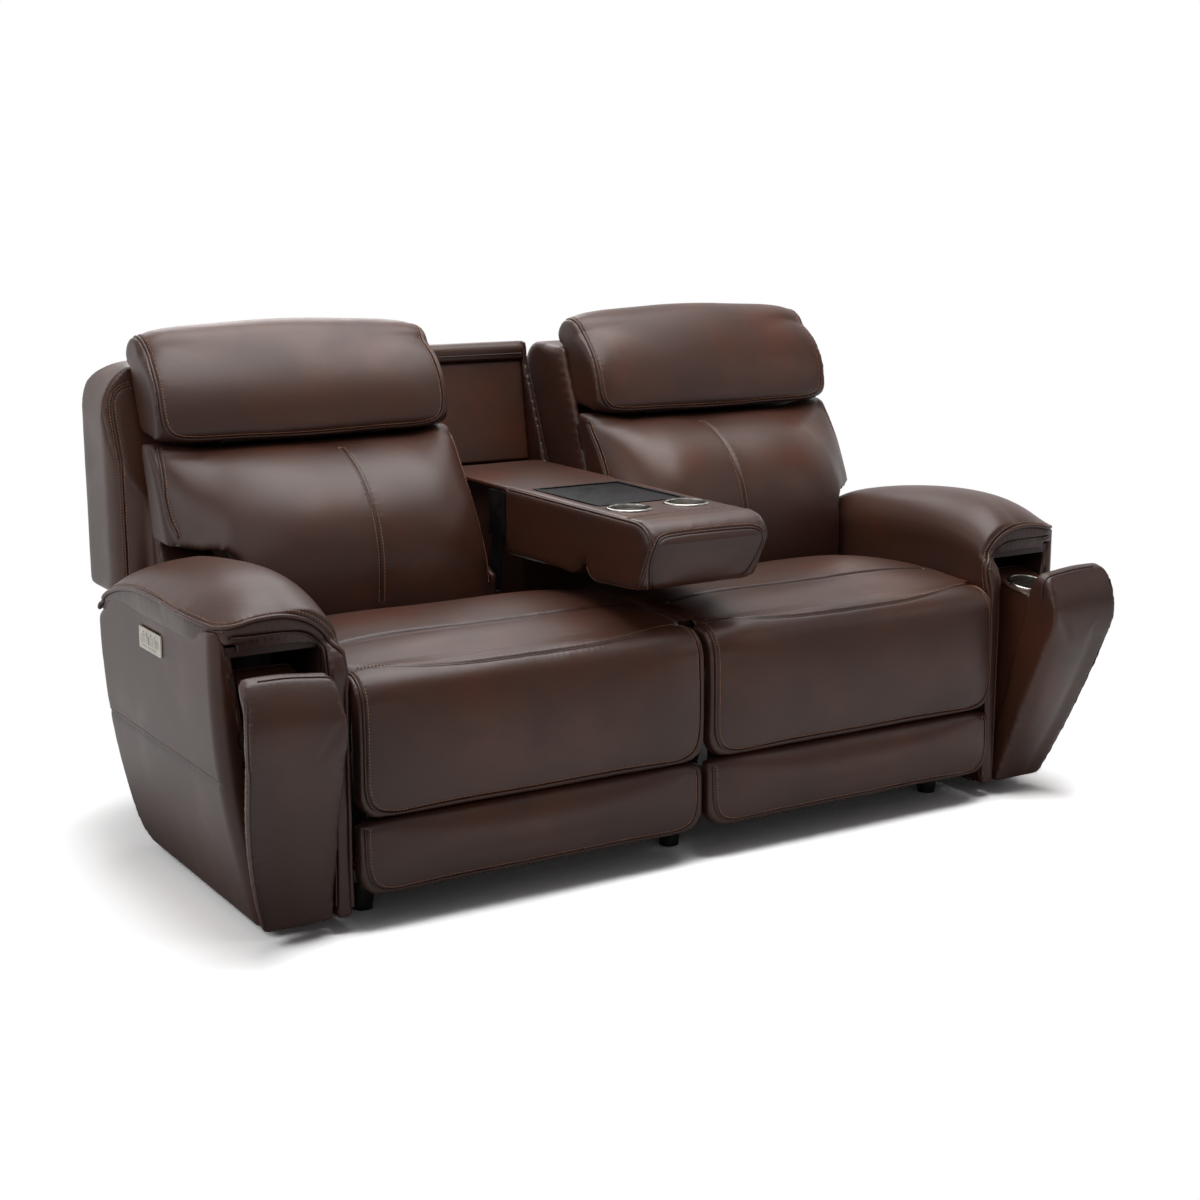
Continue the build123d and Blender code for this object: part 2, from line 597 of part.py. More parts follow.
def make_back():
    """Frame, cushion and outside shell of the right back."""
    # Two lobes beside the seam, drawn in towards both ends
    seam = (BACK_IN + BACK_LOW_OUT) / 2
    stations = (
        (BACK_IN, 0.0, 10), (BACK_IN + 45, 0.6, 2), (BACK_IN + 150, 1.0, 0), (seam, 0.93, 0),
        (seam + 150, 1.0, 0), (BACK_OUT - 110, 0.7, 0), (BACK_OUT - 35, 0.3, 3), (BACK_OUT, 0.0, 10),
    )
    cushion = loft([back_section(*row) for row in stations])
    corner = front_slab(
        (400, 900), (BACK_LOW_OUT, 400), (BACK_LOW_OUT, 585),
        ((BACK_LOW_OUT + 30, 628), (BACK_OUT + 5, 652)), (BACK_OUT + 5, 400),
    )
    keep_pair("back_cushion", cushion - corner)

    solids = []
    arms = recline_arm_limits()
    near, far = arms[0][1] + 1, arms[1][0] - 1
    upright_x = ((near, near + UPRIGHT_WIDTH), (far - UPRIGHT_WIDTH, far))
    half = UPRIGHT / 2
    for x in upright_x:
        upright = side_slab(
            x, lean_point(-22, -half), lean_point(UPRIGHT_LENGTH, -half),
            lean_point(UPRIGHT_LENGTH, half), lean_point(-22, half),
        )
        hole = rod((x[0] - 1, x[1] + 1), RECLINE_Y, RECLINE_Z, RECLINE_PIN + 2 * PIN_GAP)
        solids.append(upright - hole)
    between = (upright_x[0][1], upright_x[1][0])
    for along in (95, 260):
        solids.append(
            side_slab(
                between, lean_point(along, -half), lean_point(along + 60, -half),
                lean_point(along + 60, -half + BOARD), lean_point(along, -half + BOARD),
            )
        )
    # Top rail runs out behind the wing and carries the headrest ears
    top_x = (BACK_IN + 4, BACK_OUT - 10)
    rail = side_slab(
        top_x, lean_point(UPRIGHT_LENGTH - 60, -half), lean_point(UPRIGHT_LENGTH, -half),
        lean_point(UPRIGHT_LENGTH, half), lean_point(UPRIGHT_LENGTH - 60, half),
    )
    for x in upright_x:
        rail -= block((x[0], x[1]), (RECLINE_Y, SHELL_REAR), (RECLINE_Z, SHELL_TOP))
    for side in (-1, 1):
        x0 = (HEAD_IN + HEAD_OUT) / 2 + side * 180
        x = (x0 - 4, x0 + 4)
        ear = link_bar(x, lean_point(UPRIGHT_LENGTH + 3, 4), head_elbow(), HEAD_EAR)
        ear += link_bar(x, head_elbow(), (HEAD_PIVOT_Y, HEAD_PIVOT_Z), HEAD_EAR)
        ear -= side_slab(
            (x[0] - 1, x[1] + 1), lean_point(UPRIGHT_LENGTH - 40, -30), lean_point(UPRIGHT_LENGTH, -30),
            lean_point(UPRIGHT_LENGTH, 60), lean_point(UPRIGHT_LENGTH - 40, 60),
        )
        pin_x = tuple(sorted((x0 - side * 4, x0 - side * 34)))
        rail += ear + rod(pin_x, HEAD_PIVOT_Y, HEAD_PIVOT_Z, HEAD_TUBE - 6)
    solids.append(rail)
    keep_pair("back_frame", group(solids))

    # Outside back: side outline crossed with the plan outline, then hollowed from the front
    whole = (BACK_IN, WING_OUT)
    edge = 1.0
    depth = SHELL_REAR - frame_rear(SHELL_TOP)
    top_round = min(SHELL_ROUND, depth / 2)
    bend = 0.29 * top_round
    body = side_slab(
        whole, (SHELL_REAR - 95, SHELL_BOTTOM), (SHELL_REAR - 32, SHELL_BOTTOM), (SHELL_REAR, 600),
        (SHELL_REAR, SHELL_TOP - top_round),
        ((SHELL_REAR - bend, SHELL_TOP - bend), (SHELL_REAR - top_round, SHELL_TOP)),
        (frame_rear(SHELL_TOP - 8) + edge, SHELL_TOP - 8),
        (frame_rear(470) + edge, 470), (SHELL_REAR - 115, 330),
    )
    side_round = min(50.0, (SHELL_REAR - WING_FRONT) / 4)
    bend = 0.29 * side_round
    wing_y = (WING_FRONT + 0.11 * (SHELL_REAR - WING_FRONT), WING_FRONT + 0.35 * (SHELL_REAR - WING_FRONT))
    wing = plan_slab(
        (SHELL_BOTTOM - 10, SHELL_TOP + 10), (BACK_IN, RECLINE_Y), (BACK_OUT - 8, RECLINE_Y),
        (BACK_OUT - 8, WING_FRONT), ((WING_OUT - 20, wing_y[0]), (WING_OUT, wing_y[1])),
        (WING_OUT, SHELL_REAR - side_round),
        ((WING_OUT - bend, SHELL_REAR - bend), (WING_OUT - side_round, SHELL_REAR)), (BACK_IN, SHELL_REAR + 1),
    )
    bend = 0.29 * SHELL_CORNER
    face = front_slab(
        (RECLINE_Y, SHELL_REAR + 10), (BACK_IN, SHELL_BOTTOM), (BACK_IN, SHELL_TOP),
        (WING_OUT - SHELL_CORNER, SHELL_TOP),
        ((WING_OUT - bend, SHELL_TOP - bend), (WING_OUT, SHELL_TOP - SHELL_CORNER)), (WING_OUT, SHELL_BOTTOM),
    )
    body = body & wing & face
    body -= block((BACK_LOW_OUT, WING_OUT + 10), (RECLINE_Y, SHELL_REAR + 10), (SHELL_BOTTOM - 10, WING_BOTTOM))
    hollow = side_slab(
        (BACK_IN + SHELL_WALL, BACK_LOW_OUT - SHELL_WALL),
        (SHELL_REAR - 60, 340), (SHELL_REAR - SHELL_WALL, 600),
        (SHELL_REAR - SHELL_WALL, SHELL_TOP - 75), (SHELL_REAR - 75, SHELL_TOP - SHELL_WALL - 8),
        (frame_rear(SHELL_TOP - 60) - 5, SHELL_TOP - 60), (frame_rear(500) - 5, 500),
    )
    keep_pair("back_shell", body - hollow)


def head_elbow():
    """(y, z) where an ear turns forward over the back cushion to the headrest pivot."""
    return (HEAD_PIVOT_Y + 52, HEAD_PIVOT_Z + 2)


def head_section(x, crest, draw):
    """Headrest section: overhanging lip in front, crest on top, flat against the shell behind."""
    y, z = HEAD_PIVOT_Y, HEAD_PIVOT_Z
    tall = HEAD_CREST - HEAD_PIVOT_Z
    return outline(
        Plane.YZ.offset(x),
        (y + 94 - draw, z + 18),
        (y + draw, z - 2 + draw),
        ((y - 30 + draw, z + 6 + draw), (y - 35 + draw, z + 34)),
        ((y + draw, z + 0.564 * tall), (y + 56 + draw, crest - 32)),
        ((y + 104, crest), (y + 159 - draw, crest - 20)),
        ((y + 162 - draw, crest - 45), (y + 140 - draw, z + 0.615 * tall)),
    )


def make_headrest():
    """Pad and bracket of the right headrest."""
    mid = (HEAD_IN + HEAD_OUT) / 2
    half = ((0.0, 32, 12), (0.05, 20, 4), (0.25, 6, 0), (0.5, 0, -3))
    stations = half + tuple((1 - a, b, c) for a, b, c in reversed(half[:-1]))
    span = HEAD_OUT - HEAD_IN
    pad = loft([head_section(HEAD_IN + a * span, HEAD_CREST - b, c) for a, b, c in stations])

    pivot = (HEAD_PIVOT_Y, HEAD_PIVOT_Z)
    sleeve = rod((mid - 175, mid + 175), *pivot, HEAD_TUBE)
    plate_top = (HEAD_PIVOT_Y + 90, HEAD_PIVOT_Z + 0.72 * (HEAD_CREST - HEAD_PIVOT_Z))
    plate = link_bar((mid - 150, mid + 150), pivot, plate_top, HEAD_PLATE)
    bore = rod((mid - 176, mid + 176), *pivot, HEAD_TUBE - 6 + 2 * PIN_GAP)
    keep_pair("headrest_bracket", sleeve + plate - bore)

    pad -= link_bar((mid - 151, mid + 151), pivot, plate_top, HEAD_PLATE + 0.6)
    channel = link_bar((mid - 200, mid + 200), pivot, head_elbow(), HEAD_EAR + 10)
    keep_pair("headrest_pad", pad - channel)


# Arms
def arm_face(z, offset):
    """x of the sloping outer side of the arm frame at a height, moved outwards."""
    share = (z - ARM_BOTTOM) / (ARM_TOP - ARM_BOTTOM)
    return ARM_OUT - 26 - ARM_SLOPE * (1 - share) + offset


def panel_face(z):
    """x of the bulged outer side of the arm panel at a height."""
    half = (ARM_TOP - ARM_BOTTOM) / 2
    rise = (z - ARM_BOTTOM - half) / half
    return arm_face(z, ARM_PANEL_THICK) + ARM_BULGE * (1 - rise * rise)


def arm_side_outline(front, rear, low, high):
    """(y, z) outline of an arm's side, with its rear top corner cut down."""
    return ((front, low), (front, high), (ARM_DROP_START, high), (rear, high - ARM_REAR_DROP), (rear, low))


def arm_pad_section(y, low, pipe, crest, out):
    """Arm top and inner side in one: skirt, rolled top and the band under the piping."""
    inner = ARM_IN
    skirt = ARM_IN + ARM_SKIRT
    return outline(
        Plane.XZ.offset(-y),
        (inner, ARM_SKIRT_BOTTOM),
        (inner, low - 10),
        ((inner + 22, (low + 2 * crest) / 3 - 2), (inner + 108, crest)),
        ((inner + 190, crest - 0.32 * (crest - pipe)), (out, pipe)),
        (out - 8, low),
        (skirt, low),
        (skirt, ARM_SKIRT_BOTTOM),
    )


def make_arm():
    """Frame boards, outer panel and pad of the right arm, with the bin's pocket."""
    skirt = ARM_IN + ARM_SKIRT
    side = arm_side_outline(ARM_FRONT, ARM_REAR, ARM_BOTTOM, ARM_TOP)
    inner_board = side_slab((skirt, skirt + BOARD), *side)
    outer = front_slab(
        (ARM_FRONT, ARM_REAR), (arm_face(ARM_BOTTOM, -BOARD), ARM_BOTTOM), (arm_face(ARM_BOTTOM, 0), ARM_BOTTOM),
        (arm_face(ARM_TOP, 0), ARM_TOP), (arm_face(ARM_TOP, -BOARD), ARM_TOP),
    )
    outer_board = outer & side_slab((skirt, ARM_OUT), *side)
    boards = [inner_board, outer_board]
    low = ARM_BOTTOM
    floor = front_slab(
        (ARM_FRONT, ARM_REAR), (skirt + BOARD, low), (arm_face(low, -BOARD), low),
        (arm_face(low + BOARD, -BOARD), low + BOARD), (skirt + BOARD, low + BOARD),
    )
    high = ARM_TOP
    roof = front_slab(
        (ARM_FRONT, ARM_DROP_START), (skirt + BOARD, high - BOARD), (arm_face(high - BOARD, -BOARD), high - BOARD),
        (arm_face(high, -BOARD), high), (skirt + BOARD, high),
    )
    boards += [floor, roof]
    for y in (ARM_FRONT + POCKET_DEPTH, ARM_DROP_START - BOARD):
        boards.append(
            front_slab(
                (y, y + BOARD), (skirt + BOARD, low + BOARD), (arm_face(low + BOARD, -BOARD), low + BOARD),
                (arm_face(high - BOARD, -BOARD), high - BOARD), (skirt + BOARD, high - BOARD),
            )
        )
    end = ARM_TOP - ARM_REAR_DROP - 4
    boards.append(
        front_slab(
            (ARM_REAR - BOARD, ARM_REAR), (skirt + BOARD, low + BOARD), (arm_face(low + BOARD, -BOARD), low + BOARD),
            (arm_face(end, -BOARD), end), (skirt + BOARD, end),
        )
    )
    boards.append(rod((skirt + BOARD, arm_face(BIN_PIVOT_Z - 10, -BOARD)), BIN_PIVOT_Y, BIN_PIVOT_Z, BIN_ROD))
    keep_pair("arm_frame", group(boards))

    # Bulged outer panel that wraps the board's front edge, with its cross seam as a shallow groove
    # and a well behind the control plate
    thick = ARM_PANEL_THICK
    middle = (low + high) / 2
    panel = front_slab(
        (ARM_FRONT - ARM_WRAP, ARM_REAR + 10), (arm_face(low, 0), low), (arm_face(low, thick), low),
        ((panel_face(middle), middle), (arm_face(high, thick), high)), (arm_face(high, 0), high),
    )
    panel = fillet(panel.edges().filter_by(lambda e: e.center().X > panel_face(middle) - 4
                                           and abs(e.tangent_at(0.5).Z) > 0.9), 9)
    rear, bend = ARM_REAR + 10, 0.29 * ARM_PANEL_CORNER
    panel = panel & side_slab(
        (skirt, ARM_OUT + 40), (0, low), (0, high), (ARM_DROP_START, high), (rear, high - ARM_REAR_DROP),
        (rear, low + ARM_PANEL_CORNER), ((rear - bend, low + bend), (rear - ARM_PANEL_CORNER, low)),
    )
    panel += front_slab(
        (ARM_FRONT - ARM_WRAP, ARM_FRONT - SIDE_GAP), (arm_face(low, -BOARD), low), (arm_face(low, 4), low),
        (arm_face(high, 4), high), (arm_face(high, -BOARD), high),
    )
    seam_x = panel_face(ARM_SEAM_Z)
    seam = front_slab((0, 800), (seam_x - 3, ARM_SEAM_Z), (seam_x + 3, ARM_SEAM_Z - 4), (seam_x + 3, ARM_SEAM_Z + 4))
    housing = plate_plane() * Pos(0, 0, -HOUSING_DEPTH / 2)
    panel -= seam
    panel -= housing * Box(PLATE_LENGTH - 14, PLATE_HEIGHT - 10, HOUSING_DEPTH)
    keep_pair("arm_panel", panel)

    seat = ARM_TOP + SIDE_GAP
    nose = ARM_FRONT - 16
    stations = (
        (nose, seat + 4, high + 31, high + 51, ARM_OUT - 14),
        (nose + 86, seat + 4, high + 45, high + 94, ARM_OUT - 2),
        (nose + 236, seat + 4, high + 47, high + 104, ARM_OUT),
        (nose + 386, seat + 4, high + 43, high + 88, ARM_OUT - 1),
        (ARM_DROP_START, seat, high + 19, high + 55, ARM_OUT - 3),
        (ARM_REAR + 10, seat - ARM_REAR_DROP, high - 43, high - 11, ARM_OUT - 8),
    )
    pad = loft([arm_pad_section(*row) for row in stations])
    wide, bend = ARM_OUT + 2, 0.29 * ARM_PLAN_ROUND
    pad = pad & plan_slab(
        (0, high + 200), (ARM_IN - 5, nose), (wide - ARM_PLAN_ROUND, nose),
        ((wide - bend, nose + bend), (wide, nose + ARM_PLAN_ROUND)), (wide, ARM_REAR + 20), (ARM_IN - 5, ARM_REAR + 20),
    )
    core = side_slab((skirt - SIDE_GAP, ARM_OUT + 40), *arm_side_outline(0, ARM_REAR + 70, 0, seat))
    pad -= core

    # The pad folds over the pocket's upper edge, and its skirt ends in front in a padded lip
    brow_x = (skirt, arm_face(high - BOARD, -BOARD) - 1)
    pad += block(brow_x, (ARM_FRONT - 8, ARM_FRONT - SIDE_GAP), (high - BOARD, seat + 8))
    pad += side_slab(
        (ARM_IN, skirt + BOARD), (ARM_FRONT - SIDE_GAP, ARM_SKIRT_BOTTOM), (ARM_LIP_FRONT, ARM_SKIRT_BOTTOM),
        (ARM_LIP_FRONT, high - 90), ((ARM_LIP_FRONT + 8, high - 30), (nose, high - 5)), (ARM_FRONT - SIDE_GAP, high - 5),
    )
    for y in (FRONT_TUBE_Y, REAR_TUBE_Y):
        gap = TUBE / 2 + SIDE_GAP
        pad -= block((ARM_IN - 1, skirt + 1), (y - gap, y + gap), (0, RAIL_BOTTOM + SIDE_GAP))
    keep_pair("arm_pad", pad)


# Control plate
def plate_plane():
    """Plane on the sloping outer face of the right arm panel: local x is to the back, y is up."""
    step = 10.0
    lean = (panel_face(PLATE_Z + step) - panel_face(PLATE_Z - step)) / (2 * step)
    x = panel_face(PLATE_Z) + PLATE_SEAT
    return Plane(origin=(x, PLATE_Y, PLATE_Z), x_dir=(0, 1, 0), z_dir=(1, 0, -lean))


def make_controls():
    """Control plate with its switch housing, and two rockers."""
    plane = plate_plane()
    bezel = Pos(0, 0, BEZEL / 2) * Box(PLATE_LENGTH, PLATE_HEIGHT, BEZEL)
    bezel = fillet(bezel.edges().filter_by(Axis.Z), 4)
    housing = Pos(0, 0, -HOUSING_DEPTH / 2 + 0.25) * Box(PLATE_LENGTH - 15, PLATE_HEIGHT - 11, HOUSING_DEPTH - 0.5)
    plate = bezel + housing
    axle_z = -1.5
    for row, name in ((24.0, "recline_rocker"), (-17.0, "headrest_rocker")):
        well = Pos(row, 0, 0) * Box(ROCKER_LENGTH + 1, ROCKER_HEIGHT + 1, 2 * HOUSING_DEPTH - 4)
        axle_bore = Pos(row, 0, axle_z) * Rot(90, 0, 0) * Cylinder(ROCKER_AXLE / 2 + PIN_GAP, ROCKER_HEIGHT + 8)
        plate -= well
        plate -= axle_bore
        half = ROCKER_LENGTH / 2
        cap = outline(
            Plane.XZ.offset(-ROCKER_HEIGHT / 2), (-half, -1.0), (-half, BEZEL + 1.2),
            ((0, BEZEL + 0.2), (half, BEZEL + 1.2)), (half, -1.0), (6, -5.0), (-6, -5.0),
        )
        cap = Pos(row, 0, 0) * extrude(cap, amount=ROCKER_HEIGHT, dir=(0, -1, 0))
        axle = Pos(row, 0, axle_z) * Rot(90, 0, 0) * Cylinder(ROCKER_AXLE / 2, ROCKER_HEIGHT + 6)
        keep_pair(name, plane * (cap + axle))
    socket = Pos(-PLATE_LENGTH / 2 + 14, 0, BEZEL) * Box(5, 14, 7)
    keep_pair("control_plate", plane * (plate - socket))


# Bins
def tip_bin(shape):
    """Tip a piece of a bin out of the arm about its hinge rod."""
    pivot = Pos(0, BIN_PIVOT_Y, BIN_PIVOT_Z)
    return pivot * Rot(BIN_TILT, 0, 0) * pivot.inverse() * shape


def cup_holder():
    """Steel cup with a rolled rim; its origin is the middle of the rim's underside."""
    bore = CUP_BORE / 2
    wall = bore + CUP_WALL
    floor = -CUP_DEPTH
    section = outline(
        Plane.XZ, (0, floor - CUP_WALL), (wall - 5, floor - CUP_WALL), (wall, 0), (CUP_RIM / 2, 0),
        ((CUP_RIM / 2 - 1, 2.2), (CUP_RIM / 2 - 4, 3)), (bore + 1, 3), (bore, 1), (bore - 5, floor), (0, floor),
    )
    return revolve(section, axis=Axis.Z)


def make_bin():
    """Padded front, box and cup of the right bin, drawn shut and tipped out."""
    rear = BIN_PANEL_REAR
    low, high = BIN_BOTTOM, BIN_TOP
    tall = high - low
    crown = BIN_FRONT - BIN_BULGE
    profile = side_slab(
        (BIN_IN - 10, ARM_OUT + 40), (rear, low), (BIN_FRONT, low),
        ((BIN_FRONT - 0.48 * BIN_BULGE, low + 0.365 * tall), (crown, low + 0.70 * tall)),
        ((crown + 10, high - 0.10 * tall), (BIN_FRONT + 3, high)), (rear - 12, high), (rear, high - 34),
    )
    side, top_side = panel_face(high - 0.13 * tall), panel_face(high - 0.05 * tall)
    inner_top = BIN_IN + BIN_DRAW
    outline_slab = front_slab(
        (crown - 20, rear + 20), (BIN_IN, low), (arm_face(low, ARM_PANEL_THICK) + 2, low),
        ((panel_face(low + 0.42 * tall), low + 0.42 * tall), (side, high - 0.13 * tall)), (top_side, high - 0.05 * tall),
        ((top_side - 4, high - 7), (top_side - 18, high)), (inner_top + 24, high),
        ((inner_top + 7, high - 7), (inner_top, high - 28)),
    )
    keep_pair("bin_panel", tip_bin(profile & outline_slab))

    box_low = BIN_PIVOT_Z + 8
    inner = BIN_IN + 10
    walls = front_slab(
        (rear + 0.2, BIN_REAR), (inner, box_low), (arm_face(box_low, -BOARD - 4), box_low),
        (arm_face(BIN_SHELF, -BOARD - 4), BIN_SHELF), (inner, BIN_SHELF),
    )
    well = front_slab(
        (rear, BIN_REAR - BIN_WALL), (inner + BIN_WALL, box_low + BIN_WALL),
        (arm_face(box_low, -BOARD - 4 - BIN_WALL), box_low + BIN_WALL),
        (arm_face(BIN_SHELF - 12, -BOARD - 4 - BIN_WALL), BIN_SHELF - 12), (inner + BIN_WALL, BIN_SHELF - 12),
    )
    hole = Pos(BIN_CUP_X, BIN_CUP_Y, BIN_SHELF) * Cylinder(CUP_BORE / 2 + CUP_WALL + 0.3, 40)
    box = walls - well - hole
    barrel_x = (inner + 4, arm_face(box_low, -BOARD - 10))
    barrel = rod(barrel_x, BIN_PIVOT_Y, BIN_PIVOT_Z, BIN_BARREL)
    box = box + barrel - rod((inner, ARM_OUT), BIN_PIVOT_Y, BIN_PIVOT_Z, BIN_ROD + 2 * PIN_GAP)
    keep_pair("bin_box", tip_bin(box))
    keep_pair("bin_cup", tip_bin(Pos(BIN_CUP_X, BIN_CUP_Y, BIN_SHELF) * cup_holder()))


# Centre table and console
def table_section(x, draw):
    """Table section: flat top, sloping nose, and a crease underneath behind the nose block."""
    top = TABLE_TOP - draw
    low = TABLE_BOTTOM + draw
    return outline(
        Plane.YZ.offset(x),
        (TABLE_REAR, low),
        (TABLE_REAR, top),
        (70, top),
        ((18 + draw, top - 14), (draw, top - 42)),
        (38 + draw, low + 28),
        ((52 + draw, low + 12), (74 + draw, low + 8)),
        (196, low),
        ((232 - draw, low + 8), (249 - draw, low + 50)),
        ((268, low + 18), (330, low + 4)),
    )


def make_table():
    """Padded table, its rear frame with hinge ears, tray and cups."""
    half = TABLE_HALF
    top, low = TABLE_TOP, TABLE_BOTTOM
    stations = ((-half, 8), (-half + 4, 3), (-half + 14, 0), (half - 14, 0), (half - 4, 3), (half, 8))
    body = loft([table_section(*row) for row in stations], ruled=True)
    flap = block((-half + 2, half - 2), (TABLE_REAR, FLAP_REAR), (top - FLAP_THICK, top))
    body += flap
    tray_cut = block((-TRAY_HALF, TRAY_HALF), (TRAY_FRONT, TRAY_REAR), (top - TRAY_THICK, top + 1))
    body -= fillet(tray_cut.edges().filter_by(Axis.Z), 6)
    cup_seat = CUP_BORE / 2 + CUP_WALL + 0.3
    for side in (-1, 1):
        body -= Pos(side * TABLE_CUP_X, TABLE_CUP_Y, top - CUP_DEPTH / 2) * Cylinder(cup_seat, CUP_DEPTH + 8)
    keep("table_pad", body)

    tray = block((-TRAY_HALF + 0.3, TRAY_HALF - 0.3), (TRAY_FRONT + 0.3, TRAY_REAR - 0.3), (top - TRAY_THICK, top + 1))
    tray = fillet(tray.edges().filter_by(Axis.Z), 6)
    dish = block((-TRAY_HALF + 8, TRAY_HALF - 8), (TRAY_FRONT + 8, TRAY_REAR - 8), (top - 1.5, top + 2))
    keep("table_tray", tray - fillet(dish.edges().filter_by(Axis.Z), 5))
    keep("table_cups", group(Pos(side * TABLE_CUP_X, TABLE_CUP_Y, top) * cup_holder() for side in (-1, 1)))

    beam = block((-half, half), (TABLE_REAR, TABLE_REAR + 70), (low + 36, top - FLAP_THICK))
    for side in (-1, 1):
        x = tuple(sorted((side * (half - 8), side * half)))
        beam += link_bar(x, (TABLE_REAR + 30, low + 60), (TABLE_PIVOT_Y, TABLE_PIVOT_Z), 40)
        beam -= rod((x[0] - 1, x[1] + 1), TABLE_PIVOT_Y, TABLE_PIVOT_Z, TABLE_PIN + 2 * PIN_GAP)
    keep("table_frame", beam)


def make_console():
    """Side walls, back and top rail round the recess, and the panel at its back."""
    rear = SHELL_REAR
    top = CONSOLE_TOP
    foot = RAIL_BOTTOM
    solids = []
    for side in (-1, 1):
        x = tuple(sorted((side * CONSOLE_IN, side * CONSOLE_OUT)))
        wall = side_slab(
            x, (600, foot), (592, 505), (640, 525), (rear - 140, 672), (rear - 35, 925), (rear - 26, top), (rear - 12, top),
            (rear, top - 14), (rear, 600), (rear - 32, SHELL_BOTTOM), (rear - 60, foot),
        )
        pin = tuple(sorted((side * (TABLE_HALF - 10), side * CONSOLE_IN)))
        solids.append(wall + rod(pin, TABLE_PIVOT_Y, TABLE_PIVOT_Z, TABLE_PIN))
    inner = (-CONSOLE_IN, CONSOLE_IN)
    solids.append(
        side_slab(inner, (rear - 50, SHELL_BOTTOM), (rear - 32, SHELL_BOTTOM), (rear, 600), (rear, top - 14),
                  (rear - 15, top - 14), (rear - 15, 600))
    )
    solids.append(
        side_slab(inner, (rear - 44, top - 42), (rear - 15, top - 42), (rear - 15, top - 14), (rear, top - 14),
                  (rear - 12, top), (rear - 30, top), ((rear - 42, top - 8), (rear - 46, top - 26)))
    )
    keep("console_frame", group(solids))
    panel = side_slab(
        (-CONSOLE_IN + 0.3, CONSOLE_IN - 0.3), (rear - 75, 690), (rear - 60, 690), (rear - 20, top - 42.3),
        (rear - 35, top - 42.3),
    )
    keep("console_panel", panel)


def main():
    """Build every node, move the origin to the middle of the footprint and write the files."""
    make_base()
    make_seat()
    make_drive()
    make_footrest()
    make_back()
    make_headrest()
    make_arm()
    make_controls()
    make_bin()
    make_table()
    make_console()
    boxes = [shape.bounding_box() for shape in NODES.values()]
    front = min(box.min.Y for box in boxes)
    rear = max(box.max.Y for box in boxes)
    floor = min(box.min.Z for box in boxes)
    shift = Pos(0, -(front + rear) / 2, -floor)
    os.makedirs("parts", exist_ok=True)
    for name, shape in NODES.items():
        export_step(shift * shape, f"parts/{name}.step")
    print(f"moved by y {-(front + rear) / 2:.3f}, z {-floor:.3f}; {len(NODES)} nodes")


main()
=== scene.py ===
"""Looks of a two-seat power recliner with a fold-down centre table and tilt-out arm bins.

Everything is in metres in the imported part's frame. Sewn lines are written in the maker's frame, where
y = 0 is the front of the footrest pads, for the right-hand half. The left half mirrors it.
"""

import json
import logging
import math
from contextlib import contextmanager
from dataclasses import dataclass, field
from enum import Enum
from typing import Any, Callable, Iterable, Iterator, Sequence

import bmesh
import bpy
import numpy as np
from bpy.types import Material, Mesh, Node, NodeSocket, NodeTree, Object
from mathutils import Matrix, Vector, noise
from mathutils.bvhtree import BVHTree
from mathutils.kdtree import KDTree

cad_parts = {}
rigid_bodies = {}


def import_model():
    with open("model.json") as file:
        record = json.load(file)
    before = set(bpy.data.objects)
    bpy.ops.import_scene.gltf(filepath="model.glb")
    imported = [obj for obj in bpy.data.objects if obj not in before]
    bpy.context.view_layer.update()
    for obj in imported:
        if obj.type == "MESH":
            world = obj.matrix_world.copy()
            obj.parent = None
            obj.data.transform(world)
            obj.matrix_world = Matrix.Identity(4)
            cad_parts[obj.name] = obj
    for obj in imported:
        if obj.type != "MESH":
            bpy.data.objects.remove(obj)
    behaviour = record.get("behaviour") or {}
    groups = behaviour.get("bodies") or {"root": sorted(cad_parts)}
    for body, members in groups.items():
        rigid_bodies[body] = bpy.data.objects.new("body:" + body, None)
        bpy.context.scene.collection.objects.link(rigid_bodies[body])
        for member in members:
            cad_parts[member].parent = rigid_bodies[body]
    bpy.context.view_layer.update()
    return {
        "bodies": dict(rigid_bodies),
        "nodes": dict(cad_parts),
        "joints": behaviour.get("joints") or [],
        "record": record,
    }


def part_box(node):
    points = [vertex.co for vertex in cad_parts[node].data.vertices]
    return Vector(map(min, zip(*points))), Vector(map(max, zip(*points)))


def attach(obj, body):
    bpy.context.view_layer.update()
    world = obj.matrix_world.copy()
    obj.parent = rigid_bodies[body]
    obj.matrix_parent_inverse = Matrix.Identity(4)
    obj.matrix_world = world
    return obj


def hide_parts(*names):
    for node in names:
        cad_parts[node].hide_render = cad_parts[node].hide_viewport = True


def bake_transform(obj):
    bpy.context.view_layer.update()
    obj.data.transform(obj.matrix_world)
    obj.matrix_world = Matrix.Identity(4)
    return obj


LOG = logging.getLogger("loveseat")
Point = tuple[float, float, float]
Stitched = tuple[float, np.ndarray, list[np.ndarray]]
RAIL_FRONT = 0.100  # y of the base rails' front, in the maker's frame
HINGE = (0.062, 0.420)  # (y, z) of the footrest's hinge, in the maker's frame
NOSE_RADIUS = 0.062
SEAT_IN = 0.011  # x of a seat's two sides
SEAT_OUT = 0.746
SEAT_MID = (SEAT_IN + SEAT_OUT) / 2
CLOTH_FRAMES = 20
TINY = 1e-9
FLOAT = "NodeSocketFloat"
VECTOR = "NodeSocketVector"
GEOMETRY = "NodeSocketGeometry"
MATERIAL = "NodeSocketMaterial"
SHADER_TREE = "ShaderNodeTree"
GEOMETRY_TREE = "GeometryNodeTree"


